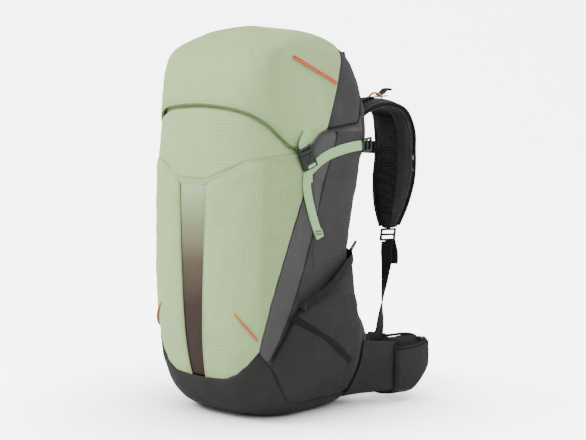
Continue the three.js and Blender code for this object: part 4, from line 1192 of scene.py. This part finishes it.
class BACKPACK_OT_fittings(bpy.types.Operator):
    """Builds the buckles, the ladder locks, the sliders, the cord lock and the back rod's finish"""

    bl_idname = "backpack.fittings"
    bl_label = "Buckles and locks"

    def execute(self, context):
        plastic = MATS["plastic"]
        # Node, piece, body and edge radius of the mouldings. A * stands for the side.
        pairs = (("buckle_socket", "side_buckle_socket", "bag", 0.9),
                 ("buckle_plug", "side_buckle_plug", "buckle_plug_*", 0.6),
                 ("ladder_lock_upper", "upper_lock", "bag", 0.7),
                 ("ladder_lock_lower", "lower_lock", "bag", 0.7),
                 ("shoulder_lock", "harness_lock", "shoulder_strap_*", 0.8),
                 ("hip_zip_slider", "hip_zip_pull", "hip_zip_slider_*", 0.6))
        for side, _ in SIDES:
            for node, name, body, bevel in pairs:
                softened(f"{node}_{side}", f"{name}_{side}", body.replace("*", side), bevel)
        softened("lid_zip_slider", "lid_zip_pull", "lid_zip_slider", 0.4)
        softened("cord_lock_body", "cord_lock_barrel", "bag", 0.9)
        softened("cord_lock_button", "cord_lock_plunger", "cord_lock_button", 0.5)
        pull = [(86, 118.0, 509.5), (90, 118.6, 505), (96, 117.5, 500), (103, 113.5, 495),
                (109, 109.5, 492)]
        fasten(tube("lid_zip_pull_cord", pull, 1.5, MATS["mint_web"], sides=8), "lid_zip_slider")
        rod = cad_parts["frame_rod"]
        rod.data.materials.clear()
        rod.data.materials.append(MATS["metal"])

        # A crossed rib on the socket's face, and a raised rim round it.
        def cross(name):
            parts = []
            for lean in (-1, 1):
                outline = [(-5.4 * lean, -3.0), (-3.6 * lean, -3.0), (5.4 * lean, 9.0),
                           (3.6 * lean, 9.0)]
                parts.append(moulding(f"{name}_rib", outline[::lean], 4.2, 5.3, from_buckle,
                                      plastic, 0.25))
                outline = [(8.4 * lean, -9.0), (10.6 * lean, -7.0), (10.9 * lean, 3.0),
                           (9.2 * lean, 10.0), (7.8 * lean, 10.0), (8.6 * lean, 2.0)]
                parts.append(moulding(f"{name}_rim", outline[::lean], 1.0, 5.2, from_buckle,
                                      plastic, 0.5))
            return joined(parts, name)
        both(cross, "buckle_face", "bag")

        def bar(name):
            rows = [[*from_buckle(across, -6.6, 5.0), *BUCKLE_OUT]
                    for across in np.linspace(-7.0, 7.0, 5)]
            return ribbon(name, rows, 4.6, 1.0, MATS["mint_web"], count=12)
        both(bar, "buckle_web_fold", "bag")
        return {"FINISHED"}


def joined(parts, name):
    """Several meshes of one body, kept as one object."""
    verts, faces, uvs, mats, slots = [], [], [], [], []
    for part in parts:
        mesh = part.data
        first = len(verts)
        verts.extend([tuple(v.co / MM) for v in mesh.vertices])
        layer = mesh.uv_layers.get("cut")
        for poly in mesh.polygons:
            faces.append(tuple(first + i for i in poly.vertices))
            mat = mesh.materials[poly.material_index]
            if mat not in mats:
                mats.append(mat)
            slots.append(mats.index(mat))
            uvs.extend([tuple(layer.data[i].uv) if layer else (0.0, 0.0)
                        for i in poly.loop_indices])
        bpy.data.objects.remove(part)
    obj = new_object(name, verts, faces, None, mats)
    layer = obj.data.uv_layers.new(name="cut")
    layer.data.foreach_set("uv", np.asarray(uvs, np.float32).ravel())
    obj.data.polygons.foreach_set("material_index", slots)
    return obj


# ---------------------------------------------------------------- side webbing
TACK_LENGTH, TACK_TURNS = 1.6, 5
TACK_STITCH = (1.6, 0.55)


def zigzag(centre, along, across, width):
    """The path of a bar tack: close stitches back and forth over a short length."""
    out = []
    for k in range(TACK_TURNS * 2 + 1):
        s = k / (TACK_TURNS * 2) - 0.5
        out.append(centre + along * TACK_LENGTH * s + across * width * (0.5 if k % 2 else -0.5))
    return np.array(out)


class BACKPACK_OT_side_webbing(bpy.types.Operator):
    """Builds the compression and lower straps, the lid stubs, the pole loops and the haul loop"""

    bl_idname = "backpack.side_webbing"
    bl_label = "Side webbing"

    def execute(self, context):
        size = sizes()
        wide, thick = size.strap_width / MM, size.webbing / MM
        mint_web, black_web = MATS["mint_web"], MATS["black_web"]
        upper = [(126.5, 399), (122, 398.8), (116, 397.5), (107, 394), (98, 389), (90, 382),
                 (84, 374), (79.5, 367), (77.6, 371)]
        tail = [(77.8, 371), (77.8, 365), (77.2, 356), (77, 345), (78, 331), (80, 315), (83, 295),
                (87.5, 270)]

        def strap(name):
            rows = on_skin(upper, 1.8)
            rows[-1] = [*(from_buckle(0, -10.5, -0.5)), *BUCKLE_OUT]
            lower = on_skin(tail, 3.2)
            lower[0] = [*(from_buckle(0, -10.0, 1.4)), *BUCKLE_OUT]
            return joined([ribbon(f"{name}_a", rows, wide, thick, mint_web, cup=0.3),
                           ribbon(f"{name}_b", lower, wide, thick, mint_web, cup=0.5, wave=0.7),
                           ribbon(f"{name}_c", on_skin([(85.9, 280), (86.8, 274.5), (87.6, 269)],
                                                       4.6), wide, thick, mint_web)], name)
        both(strap, "side_compression_strap", "bag", ["compression_strap"])

        def on_pocket(route, out):
            return on_skin(route, [pocket_swell(a, z) + out for a, z in route])

        def under(name):
            route = [(71, 170), (74, 176), (80, 184), (87, 191), (94, 201), (101, 213), (108, 225),
                     (114, 233), (118.5, 239)]
            return ribbon(name, on_pocket(route, 1.9), wide, thick, black_web, cup=0.3)
        both(under, "side_pocket_strap", "bag", ["lower_strap"])

        def binder(name):
            route = [(66, 158), (74, 146), (83, 133), (92, 120), (101, 106), (110, 91), (117, 78)]
            return ribbon(name, on_pocket(route, 0.9), 9.5, 1.2, MATS["binding"])
        both(binder, "side_pocket_binder", "bag")

        def loop(name):
            route = [(34, 165), (34.6, 162), (37.5, 154), (41, 144), (44.5, 134), (46.8, 127),
                     (47.3, 125)]
            outs = [0.9, 1.8, 3.4, 3.9, 3.2, 1.8, 0.9]
            return tube(name, on_skin(route, outs), 1.7, MATS["orange"], sides=10, count=60)
        both(loop, "pole_loop_cord", "bag", ["pole_loop"])

        def stub(name):
            top, n = off_skin(*LID_STUB_TOP)
            rows = [[*from_buckle(0, 20.4, 0.2), *BUCKLE_OUT], [*from_buckle(0, 24.5, -1.2),
                                                                *BUCKLE_OUT],
                    [*((from_buckle(0, 26, -3.0) + top) / 2), *unit(BUCKLE_OUT + n)], [*top, *n],
                    [*off_skin(78.8, 425.5, -0.6)[0], *n]]
            return ribbon(name, rows, wide - 1, 1.5, mint_web, count=40)
        bridging(stub("lid_strap_stub_right"), "lid_strap_stub",
                 (from_buckle(0, 22, 0) * MM, off_skin(*LID_STUB_TOP)[0] * MM),
                 "lid_stub")

        haul = [(-47, 124.5), (-42.5, 137), (-28, 149), (0, 153.5), (28, 149), (42.5, 137),
                (47, 124.5)]
        normals = [(-1, 0.1), (-0.8, 0.6), (-0.3, 1), (0, 1), (0.3, 1), (0.8, 0.6), (1, 0.1)]
        rows = [[x, y, 466, nx, ny, 0] for (x, y), (nx, ny) in zip(haul, normals)]
        fasten(ribbon("haul_handle", rows, 16, 2.2, black_web, count=80, cup=0.5), "bag",
               ["haul_loop"])

        # Bar tacks and stitched ends.
        for side, sign in SIDES:
            tacks = []
            for angle, z, out in ((86.6, 275, 5.6), (86.0, 279, 5.6)):
                p, n = off_skin(angle, z, out)
                up = unit(off_skin(angle, z + 3, out)[0] - p)
                tacks.append(zigzag(p, up, np.cross(up, n), wide - 3) * [sign, 1, 1])
            for angle, z in ((73, 175), (116.5, 236.5)):
                out = pocket_swell(angle, z) + 3.0
                p, n = off_skin(angle, z, out)
                up = unit(off_skin(angle, z + 3, out)[0] - p)
                tacks.append(zigzag(p, np.cross(up, n), up, wide - 3) * [sign, 1, 1])
            stitched(f"side_bar_tacks_{side}", "stitch_dark", tacks, "bag", "black_webbing",
                     *TACK_STITCH)
        return {"FINISHED"}


# ---------------------------------------------------------------- padding
def pad_path(stations, count):
    """Points, normals, across directions and widths along a pad."""
    path = smooth_route(stations, count)
    p, n = path[:, :3], unit(path[:, 3:6])
    t = unit(np.gradient(p, axis=0))
    w = unit(np.cross(t, n))
    return p, np.cross(w, t), w, path[:, 6]


def pad_body(name, path, thick, mat, across=17, soft=3.0, ends=10.0):
    """A closed pad along a path: full in the middle and thin at its edges, with rounded ends."""
    p, n, w, wide = path
    run = run_of(p)
    tip = np.minimum(run, run[-1] - run)
    round_end = np.sqrt(np.clip(1 - (1 - np.clip(tip / ends, 0, 1)) ** 2, 0, 1))
    share = np.linspace(-1, 1, across)
    lift = thick / 2 * (0.22 + 0.78 * np.sqrt(np.clip(1 - np.abs(share) ** soft, 0, 1)))
    lift = lift[None, :] * (0.3 + 0.7 * round_end)[:, None]
    half = (wide / 2 - ends * 0.45 * (1 - round_end))[:, None, None] * share[None, :, None]
    body = p[:, None] + w[:, None] * half
    top, bottom = body + n[:, None] * lift[..., None], body - n[:, None] * lift[..., None]
    verts = np.concatenate([top.reshape(-1, 3), bottom.reshape(-1, 3)])
    uv = np.stack(np.broadcast_arrays(share[None] * wide[:, None] / 2, run[:, None]),
                  -1).reshape(-1, 2)
    return stitched_pair(name, verts, np.concatenate([uv, uv]), len(p), across, mat)


CLOTH_FRAMES = 20
PAD_VOXEL, PAD_PRESSURE = 4.0, 4.0


def inflated(obj, cap):
    """Fills a closed pad with air as cloth, and lets no point move more than cap millimetres."""
    even = obj.modifiers.new("even", "REMESH")
    even.mode, even.voxel_size, even.use_smooth_shade = "VOXEL", PAD_VOXEL * MM, True
    obj.data = settled(obj)
    start = coordinates(obj.data)
    cloth = obj.modifiers.new("cloth", "CLOTH")
    rules = cloth.settings
    rules.quality, rules.use_pressure, rules.uniform_pressure_force = 5, True, PAD_PRESSURE
    rules.effector_weights.gravity = 0.0
    cloth.point_cache.frame_start, cloth.point_cache.frame_end = 1, CLOTH_FRAMES
    for step in range(1, CLOTH_FRAMES + 1):
        bpy.context.scene.frame_set(step)
    swelled = settled(obj)
    bpy.context.scene.frame_set(1)
    move = coordinates(swelled) - start
    length = np.linalg.norm(move, axis=1, keepdims=True)
    move *= np.minimum(1, cap * MM / np.maximum(length, 1e-9))
    swelled.vertices.foreach_set("co", (start + move).ravel())
    obj.data = swelled
    finer = obj.modifiers.new("finer", "SUBSURF")
    finer.levels = finer.render_levels = 1
    obj.data = settled(obj)
    return obj


def pad_places(points, path):
    """Where each point lies on a pad: nearest station, share across, and height off its middle."""
    p, n, w, wide = path
    near = np.empty(len(points), int)
    for first in range(0, len(points), 4000):
        part = points[first:first + 4000]
        near[first:first + 4000] = ((part[:, None] - p[None]) ** 2).sum(-1).argmin(1)
    off = points - p[near]
    return near, (off * w[near]).sum(-1) / (wide[near] / 2), (off * n[near]).sum(-1)


def finished_pad(obj, path, cover, inner, grooves=(), depth=1.6, ribs=0.0, pitch=14.0, crease=0.5,
                 seed=0.0, wall=1.0):
    """Presses sewn channels into a pad and gives its two faces their cloth.

    The cover wraps round the outer edge as far as the share wall.
    """
    mesh = obj.data
    co = coordinates(mesh) / MM
    near, share, height = pad_places(co, path)
    n = path[1][near]
    side = np.clip(height / 3.0, -1, 1)
    press = sum((np.exp(-(((np.abs(share) - g) / 0.055) ** 2)) for g in grooves), np.zeros(len(co)))
    run = run_of(path[0])[near]
    wave = ribs * np.maximum(0, np.cos(2 * np.pi * run / pitch)) ** 6 * (np.abs(share)
                                                                         < 0.72) * (height < 0)
    folds = crease * (ripple(co, 30, seed) + 0.5 * ripple(co, 12, seed + 4))
    co = co - n * (side * (depth * press + wave - folds))[:, None]
    mesh.vertices.foreach_set("co", (co * MM).ravel())
    mesh.materials.clear()
    mesh.materials.append(cover)
    mesh.materials.append(inner)
    corners = np.array([poly.vertices[0] for poly in mesh.polygons])
    faced = (height[corners] < -0.8) & (share[corners] < wall)
    mesh.polygons.foreach_set("material_index", faced.astype(np.int32))
    shaded(mesh)
    set_cut(mesh, np.stack([share * path[3][near] / 2, run], -1))
    mesh.update()
    return obj


def edge_line(path, share, lift=0.0, skip=2):
    p, n, w, wide = path
    return (p + w * (share * wide / 2)[:, None] + n * lift)[skip:len(p) - skip]


PAD_STATIONS = [(56, 139.1, 430, 0, -0.55, 0.83, 56), (60, 154, 443, 0, -0.45, 0.9, 60),
                (63, 180, 455, 0, -0.2, 1, 64), (67, 208, 458, 0.05, 0.25, 1, 70),
                (71, 231, 446, 0.05, 0.8, 0.6, 76), (75, 241, 415, -0.04, 1, 0.15, 78),
                (79, 238, 378, -0.04, 1, -0.15, 78), (84, 229, 338, -0.15, 1, -0.25, 74),
                (91, 215, 298, -0.15, 1, -0.35, 58), (97, 203, 264, -0.15, 1, -0.35, 30)]
PAD_WALL = 0.34
HARNESS_TWIST = [(100.2, 195, 243.9, -0.15, 1, -0.35), (103, 190, 229, -0.13, 1, -0.35),
                 (106.5, 186, 213, 0.0, 1, -0.35), (110, 179.5, 197, 0.25, 1, -0.33),
                 (114, 173, 180, 0.5, 1, -0.28), (118, 165.8, 163, 0.75, 0.85, -0.2),
                 (122, 158, 146, 0.95, 0.5, -0.1), (126, 150.5, 129, 1, 0.15, -0.05),
                 (129, 144, 114, 1, 0.05, 0)]


class BACKPACK_OT_harness(bpy.types.Operator):
    """Builds the shoulder pads, the load lifters, the harness webbing and the sternum strap"""

    bl_idname = "backpack.harness"
    bl_label = "Harness"

    def execute(self, context):
        size = sizes()
        wide, thick = size.harness_width / MM, size.webbing / MM
        black_web, binding = MATS["black_web"], MATS["binding"]
        path = pad_path(PAD_STATIONS, 190)
        pad = pad_body("shoulder_padding_right", path, size.pad / MM - 3.4, MATS["pad_cover"],
                       across=19)
        pad = inflated(pad, 2.2)
        pad = finished_pad(pad, path, MATS["pad_cover"], MATS["mesh"], grooves=(0.8,), depth=1.8,
                           ribs=0.9, pitch=17.0, seed=21.0, wall=PAD_WALL)
        for obj, (side, _) in zip((pad, flipped(pad, "shoulder_padding_left")), SIDES):
            fasten(obj, f"shoulder_strap_{side}", [f"shoulder_pad_{side}"])
        for edge in (-1, 1):
            label = "outer" if edge > 0 else "inner"

            def bound(name, edge=edge):
                return tube(name, edge_line(path, 0.985 * edge, 0.6, 3), 2.5, binding, sides=10,
                            count=220)
            both(bound, f"shoulder_{label}_binding", "shoulder_strap", sided=True)

        def ridge(name):
            return tube(name, edge_line(path, PAD_WALL, -7.4, 14), 1.7, MATS["pad_cover"], sides=8,
                        count=160)
        both(ridge, "shoulder_ridge", "shoulder_strap", sided=True)
        # A daisy chain of webbing down the outside of each pad, tacked at every step.
        runner = [[*(p + n * 7.3), *n] for p, n in zip(path[0][28:160:8], path[1][28:160:8])]

        def chain(name):
            return ribbon(name, runner, wide, thick, black_web, count=140, wave=0.5)
        both(chain, "shoulder_runner", "shoulder_strap", sided=True)
        for side, sign in SIDES:
            tacks = []
            for k in range(34, 158, 20):
                tacks.append(zigzag(path[0][k] + path[1][k] * 8.6,
                                    unit(path[0][k + 1] - path[0][k]), path[2][k],
                                    wide - 4) * [sign, 1, 1])
            stitched(f"shoulder_bar_tacks_{side}", "stitch_dark", tacks, f"shoulder_strap_{side}",
                     "black_webbing", *TACK_STITCH)
            rows = [edge_line(path, s * 0.9, lift, 6) * [sign, 1, 1] for s,
                    lift in ((1, 4.4), (-1, 4.4), (1, -4.4), (-1, -4.4))]
            stitched(f"shoulder_edge_stitches_{side}", "stitch_grey", rows,
                     f"shoulder_strap_{side}", "dark_fabric", 4.2, 0.7)

        lifter = [(68, 124.0, 458.6, 0, -0.1, 1), (68, 142, 462, 0, -0.15, 1),
                  (68, 160, 465, 0, -0.1, 1), (69, 190, 468.0, 0, 0, 1),
                  (70, 212, 468.8, 0, 0.15, 1), (71, 224, 469.6, 0, 0.1, 1)]
        tip = [(70.6, 206, 470.6, 0, 0.1, 1), (70.8, 214, 474, 0, -0.3, 1),
               (71, 221, 479, 0, -0.6, 1), (71, 228, 481.5, 0, 0.1, 1),
               (71.2, 233, 478, 0, 0.8, 0.6)]

        def load(name):
            return joined([ribbon(f"{name}_a", lifter, wide - 4, thick, black_web, count=60,
                                  cup=0.3), ribbon(f"{name}_b", tip, wide - 5, 1.3, black_web,
                                                   count=30)], name)
        bridging(load("load_lifter_strap_right"), "load_lifter_strap",
                 ((0.068, 0.126, 0.46), (0.070, 0.205, 0.468)), "load_lifter")

        def down(name):
            return ribbon(name, HARNESS_TWIST, wide, thick, black_web, count=110, cup=0.4, wave=1.0)
        bridging(down("harness_strap_right"), "harness_strap",
                 ((0.100, 0.196, 0.245), (0.128, 0.146, 0.120)), "harness_webbing")

        def tail(name):
            rows = [(100.5, 201.5, 247, -0.15, 1, -0.35), (102, 203, 238, -0.1, 1, -0.1),
                    (103, 206, 226, -0.1, 1, 0.1), (103.5, 206, 214, -0.1, 1, 0.0),
                    (103.8, 204.5, 208, -0.1, 1, -0.2)]
            return ribbon(name, rows, wide - 1, thick, black_web, count=40)
        both(tail, "harness_tail", "shoulder_strap", sided=True)

        def tab(name):
            rows = [(129.4, 144.5, 116, 1, 0.05, 0, 19), (129.8, 141, 109, 1, 0.1, 0, 22),
                    (129.6, 137, 102, 1, 0.2, 0, 27), (128.2, 131, 94, 1, 0.35, 0, 34)]
            return ribbon(name, rows, 20, 2.4, binding, count=26)
        both(tab, "harness_anchor_tab", "bag")

        def hose(name):
            turn = np.linspace(0.05 * np.pi, 1.05 * np.pi, 22)
            rows = [(66 + 13 * np.cos(a), 205, 466.0 + 8.5 * np.sin(a)) for a in turn]
            return tube(name, rows, 1.7, MATS["orange"], sides=10, count=50)
        both(hose, "hose_loop", "shoulder_strap", sided=True)

        # The sternum strap: its two moulded halves and the webbing between them and the pads.
        softened("sternum_strap_right", "sternum_socket", "sternum_strap")
        softened("sternum_strap_left", "sternum_tongue", "sternum_plug")
        y, z = 251.9, 386.0
        for name, body, places in (("sternum_web_right", "sternum_strap", (92.4, 60, 30, -4.4)),
                                   ("sternum_web_left", "sternum_plug", (-38.5, -52, -66, -82.4))):
            rows = [(x, y, z, 0, 1, 0) for x in np.linspace(places[0], places[-1], 7)]
            fasten(ribbon(name, rows, wide + 0.4, thick + 0.5, black_web, count=60), body)
        return {"FINISHED"}


# ---------------------------------------------------------------- hip belt
# Across, back, and the normal's two parts. The wing's rows end with its width and the pocket's with
# its height.
WING_STATIONS = [(x, y, HIP_LEVEL, nx, ny, 0, width) for x, y, nx, ny,
                 width in ((103.4, 153.5, 0.2, -1, 84), (118, 158, 0.7, -0.7, 90),
                           (128, 170, 1, -0.3, 92), (133, 200, 1, 0, 90), (132, 222, 1, 0.05, 80),
                           (129, 244, 1, 0.1, 56))]
HIP_POCKET = [(130.5, 166, 1, -0.22, 77), (133, 183, 1, -0.08, 80), (133.5, 202, 1, 0, 79),
              (132.5, 220, 1, 0.06, 68), (130.5, 234, 1, 0.1, 56), (129.5, 241, 1, 0.16, 46)]
BELT = [(x, y, HIP_LEVEL, nx, ny, 0) for x, y, nx, ny in ((129, 243, 1, 0.15), (127.4, 254, 1, 0.3),
                                                          (124, 262, 1, 0.5), (116, 273, 0.8, 0.8),
                                                          (106, 281, 0.6, 0.9),
                                                          (92, 287.5, 0.35, 1), (76, 291, 0.2, 1),
                                                          (58, 294, 0.1, 1), (40, 295, 0, 1),
                                                          (14, 295, 0, 1))]


class BACKPACK_OT_hip_belt(bpy.types.Operator):
    """Builds the padded hip wings, their zipped pockets and the belt"""

    bl_idname = "backpack.hip_belt"
    bl_label = "Hip belt"

    def execute(self, context):
        size = sizes()
        path = pad_path(WING_STATIONS, 110)
        wing = pad_body("hip_padding_right", path, 9.0, MATS["base_grey"], across=21, soft=5.0)
        wing = inflated(wing, 1.5)
        wing = finished_pad(wing, path, MATS["base_grey"], MATS["mesh"], grooves=(0.84,), depth=1.3,
                            crease=0.8, seed=31.0)
        for obj, (side, _) in zip((wing, flipped(wing, "hip_padding_left")), SIDES):
            fasten(obj, f"hip_wing_{side}", [f"hip_wing_{side}"])
        for edge in (-1, 1):
            label = "lower" if edge > 0 else "upper"

            def bound(name, edge=edge):
                return tube(name, edge_line(path, 0.98 * edge, 0.0, 2), 2.2, MATS["binding"],
                            sides=10, count=120)
            both(bound, f"hip_{label}_binding", "hip_wing", sided=True)

        # The pocket bellies out from the wing, with its zip along the top edge.
        rows, cols = 60, 37
        fine = smooth_route([(x, y, 92 - h / 2, nx, ny, 0, h) for x, y, nx, ny, h in HIP_POCKET],
                            rows)
        normal, height = unit(fine[:, 3:6]), fine[:, 6]
        turn = np.linspace(0, np.pi, cols)
        share = -np.cos(turn)
        run = np.linspace(0, 1, rows)
        ends = np.clip(np.minimum(run, 1 - run) / 0.07, 0, 1) ** 0.5
        bulge = (np.clip(1 - np.abs(share) ** 5, 0, 1) ** 0.5)[None] * (4 + 10.2 * ends)[:, None]
        centre = fine[:, :3] + normal * 6.2
        grid = centre[:, None] + normal[:, None] * bulge[..., None]
        lift = share[None] * (height / 2)[:, None] * (0.965 + 0.035 * ends[:, None])
        grid[..., 2] += lift
        soft = ripple(grid, 34, 41.0) + 0.7 * ripple(grid * [1, 0.8, 1.6], 13, 43.0)
        grid += normal[:, None] * (1.1 * soft * (bulge > 6))[..., None]

        def pocket(name):
            return sheet_mesh(name, grid[:, ::-1].transpose(1, 0, 2)[::-1], 1.6, MATS["base_grey"])
        both(pocket, "hip_pocket_cloth", "hip_wing", ["hip_pocket"], sided=True)
        line = np.array([g[-5] for g in grid])[3:-3]
        for side, sign in SIDES:
            flip = np.array([sign, 1, 1])
            seam_line = np.array([g[-9] for g in grid])[2:-2] + normal[2:-2] * 0.3
            fasten(tube(f"hip_pocket_piping_{side}", seam_line * flip, 1.2, MATS["binding"],
                        sides=8), f"hip_wing_{side}")
            tape = [[*(q * flip), *unit((n + [0, 0, 0.9]) * flip)] for q,
                    n in zip(line + normal[3:-3] * 0.4, normal[3:-3])]
            fasten(ribbon(f"hip_zip_tape_{side}", tape, 8.5, 1.0, MATS["binding"], count=80),
                   f"hip_wing_{side}")
            teeth = (line + unit(normal[3:-3] + [0, 0, 0.9]) * 1.1) * flip
            fasten(row(f"hip_zip_coil_{side}", "zip_teeth", [teeth], 1.9, 0.95), f"hip_wing_{side}")
            low = np.array([g[6] for g in grid])[3:-3] + normal[3:-3] * 0.4
            stitched(f"hip_pocket_stitches_{side}", "stitch_grey",
                     [low * flip, (seam_line + [0, 0, -5]) * flip], f"hip_wing_{side}",
                     "dark_fabric", 4.2, 0.8)

        # A panel of the bag's cloth runs from its lower back corner to the wing.
        def fin(name):
            down = np.linspace(0, 1, 30)[:, None]
            back = np.linspace(0, 1, 36)[None, :]
            front_top, wing_top = 104.0, 93.0
            z = lined(lined(front_top, wing_top, back), lined(18.0, 20.0, back), down)
            root = skin(np.full(30, 126.4), z[:, 0], -2.0)
            x = lined(root[:, :1], 138.0,
                      smooth(back, 0, 1)) + 3.0 * np.sin(np.pi * back) * np.sin(np.pi * down)
            y = lined(root[:, 1:2], 168.5, back)
            points = np.stack(np.broadcast_arrays(x, y, z), -1)
            points[..., 0] += 1.3 * ripple(points, 24, 61.0)
            return sheet_mesh(name, points, 1.8, MATS["base_grey"])
        bridging(fin("hip_fin_right"), "hip_fin",
                 ((0.129, 0.097, 0.058), (0.138, 0.166, 0.058)))

        wide = size.belt_width / MM
        softened("hip_belt_right", "belt_socket", "hip_wing_right")
        softened("hip_belt_left", "belt_tongue", "hip_wing_left")
        fasten(ribbon("belt_web_right", BELT, wide + 0.4, 2.3, MATS["black_web"], count=150),
               "hip_wing_right")
        left = ribbon("belt_web_left_made", BELT[:-1] + [(21, 295, HIP_LEVEL, 0, 1, 0)], wide + 0.4,
                      2.3, MATS["black_web"], count=150)
        fasten(flipped(left, "belt_web_left"), "hip_wing_left")
        bpy.data.objects.remove(left)
        return {"FINISHED"}


# ---------------------------------------------------------------- back system
MESH_EDGE = [(104, 98), (150, 86), (250, 72), (350, 84), (440, 96)]
MESH_PLANE = [(104, 142), (150, 130), (200, 122), (250, 118.5), (300, 118.5), (350, 122),
              (400, 129), (440, 134.5)]


class BACKPACK_OT_back_system(bpy.types.Operator):
    """Builds the tensioned back mesh, its bound edge and the lumbar pad"""

    bl_idname = "backpack.back_system"
    bl_label = "Back system"

    def execute(self, context):
        z = np.linspace(104, 412, 110)[:, None]
        s = np.linspace(1, -1, 70)[None, :]
        half, plane = np.interp(z, *zip(*MESH_EDGE)), np.interp(z, *zip(*MESH_PLANE))
        kernel = np.hanning(15)[:, None] / np.hanning(15).sum()
        ease = np.pad(plane, ((7, 7), (0, 0)), mode="edge")
        plane = sum(kernel[k] * ease[k:k + len(plane)] for k in range(15))
        grid = np.stack(np.broadcast_arrays(half * s, plane + 1.5 + 0 * s, z + 0 * s),
                        -1).astype(float)
        flat_mesh = sheet_mesh("tension_mesh", grid, 1.4, MATS["mesh"])
        fasten(flat_mesh, "bag", ["back_mesh"])
        border = np.concatenate([grid[0], grid[1:, -1], grid[-1, ::-1][1:],
                                 grid[::-1, 0][1:-1]]) - [0, 0.7, 0]
        fasten(tube("mesh_binding", border[::3], 2.4, MATS["binding"], sides=10, closed=True,
                    count=420), "bag")

        a = np.linspace(140, 220, 60)
        path_points = skin(a, 0 * a + 61, -(13 + 0.9) / 2 - 0.4)
        normal = unit(np.cross(np.gradient(path_points, axis=0), [0, 0, 1.0]))
        stations = [[*p, *n, 72] for p, n in zip(path_points[::3], normal[::3])]
        path = pad_path(stations, 100)
        lumbar = pad_body("lumbar_padding", path, 10.0, MATS["base_grey"], across=23, soft=4.0)
        lumbar = inflated(lumbar, 1.6)
        lumbar = finished_pad(lumbar, path, MATS["mesh"], MATS["base_grey"], grooves=(0.3, 0.86),
                              depth=1.6, seed=51.0)
        fasten(lumbar, "bag", ["lumbar_pad"])
        return {"FINISHED"}


# ---------------------------------------------------------------- panel, classes and the whole run
STEPS = ("stage", "lid", "bag", "pockets", "fittings", "side_webbing", "harness", "hip_belt",
         "back_system")


class BACKPACK_PT_parts(bpy.types.Panel):
    """Lists the backpack's sizes and pieces"""

    bl_idname = "BACKPACK_PT_parts"
    bl_label = "Backpack"
    bl_space_type = "VIEW_3D"
    bl_region_type = "UI"
    bl_category = "Backpack"

    def draw(self, context):
        for group in (context.scene.backpack_sizes, context.scene.backpack_stage):
            for key in group.__annotations__:
                self.layout.prop(group, key)
        for step in STEPS:
            self.layout.operator(f"backpack.{step}")


CLASSES = (BackpackSizes, BackpackStage, BACKPACK_OT_stage, BACKPACK_OT_lid, BACKPACK_OT_bag,
           BACKPACK_OT_pockets, BACKPACK_OT_fittings, BACKPACK_OT_side_webbing, BACKPACK_OT_harness,
           BACKPACK_OT_hip_belt, BACKPACK_OT_back_system, BACKPACK_PT_parts)


def register():
    for cls in CLASSES:
        bpy.utils.register_class(cls)
    bpy.types.Scene.backpack_sizes = bpy.props.PointerProperty(type=BackpackSizes)
    bpy.types.Scene.backpack_stage = bpy.props.PointerProperty(type=BackpackStage)


def unregister():
    del bpy.types.Scene.backpack_stage
    del bpy.types.Scene.backpack_sizes
    for cls in reversed(CLASSES):
        bpy.utils.unregister_class(cls)


def main():
    register()
    for step in STEPS:
        getattr(bpy.ops.backpack, step)()


if __name__ == "__main__":
    main()
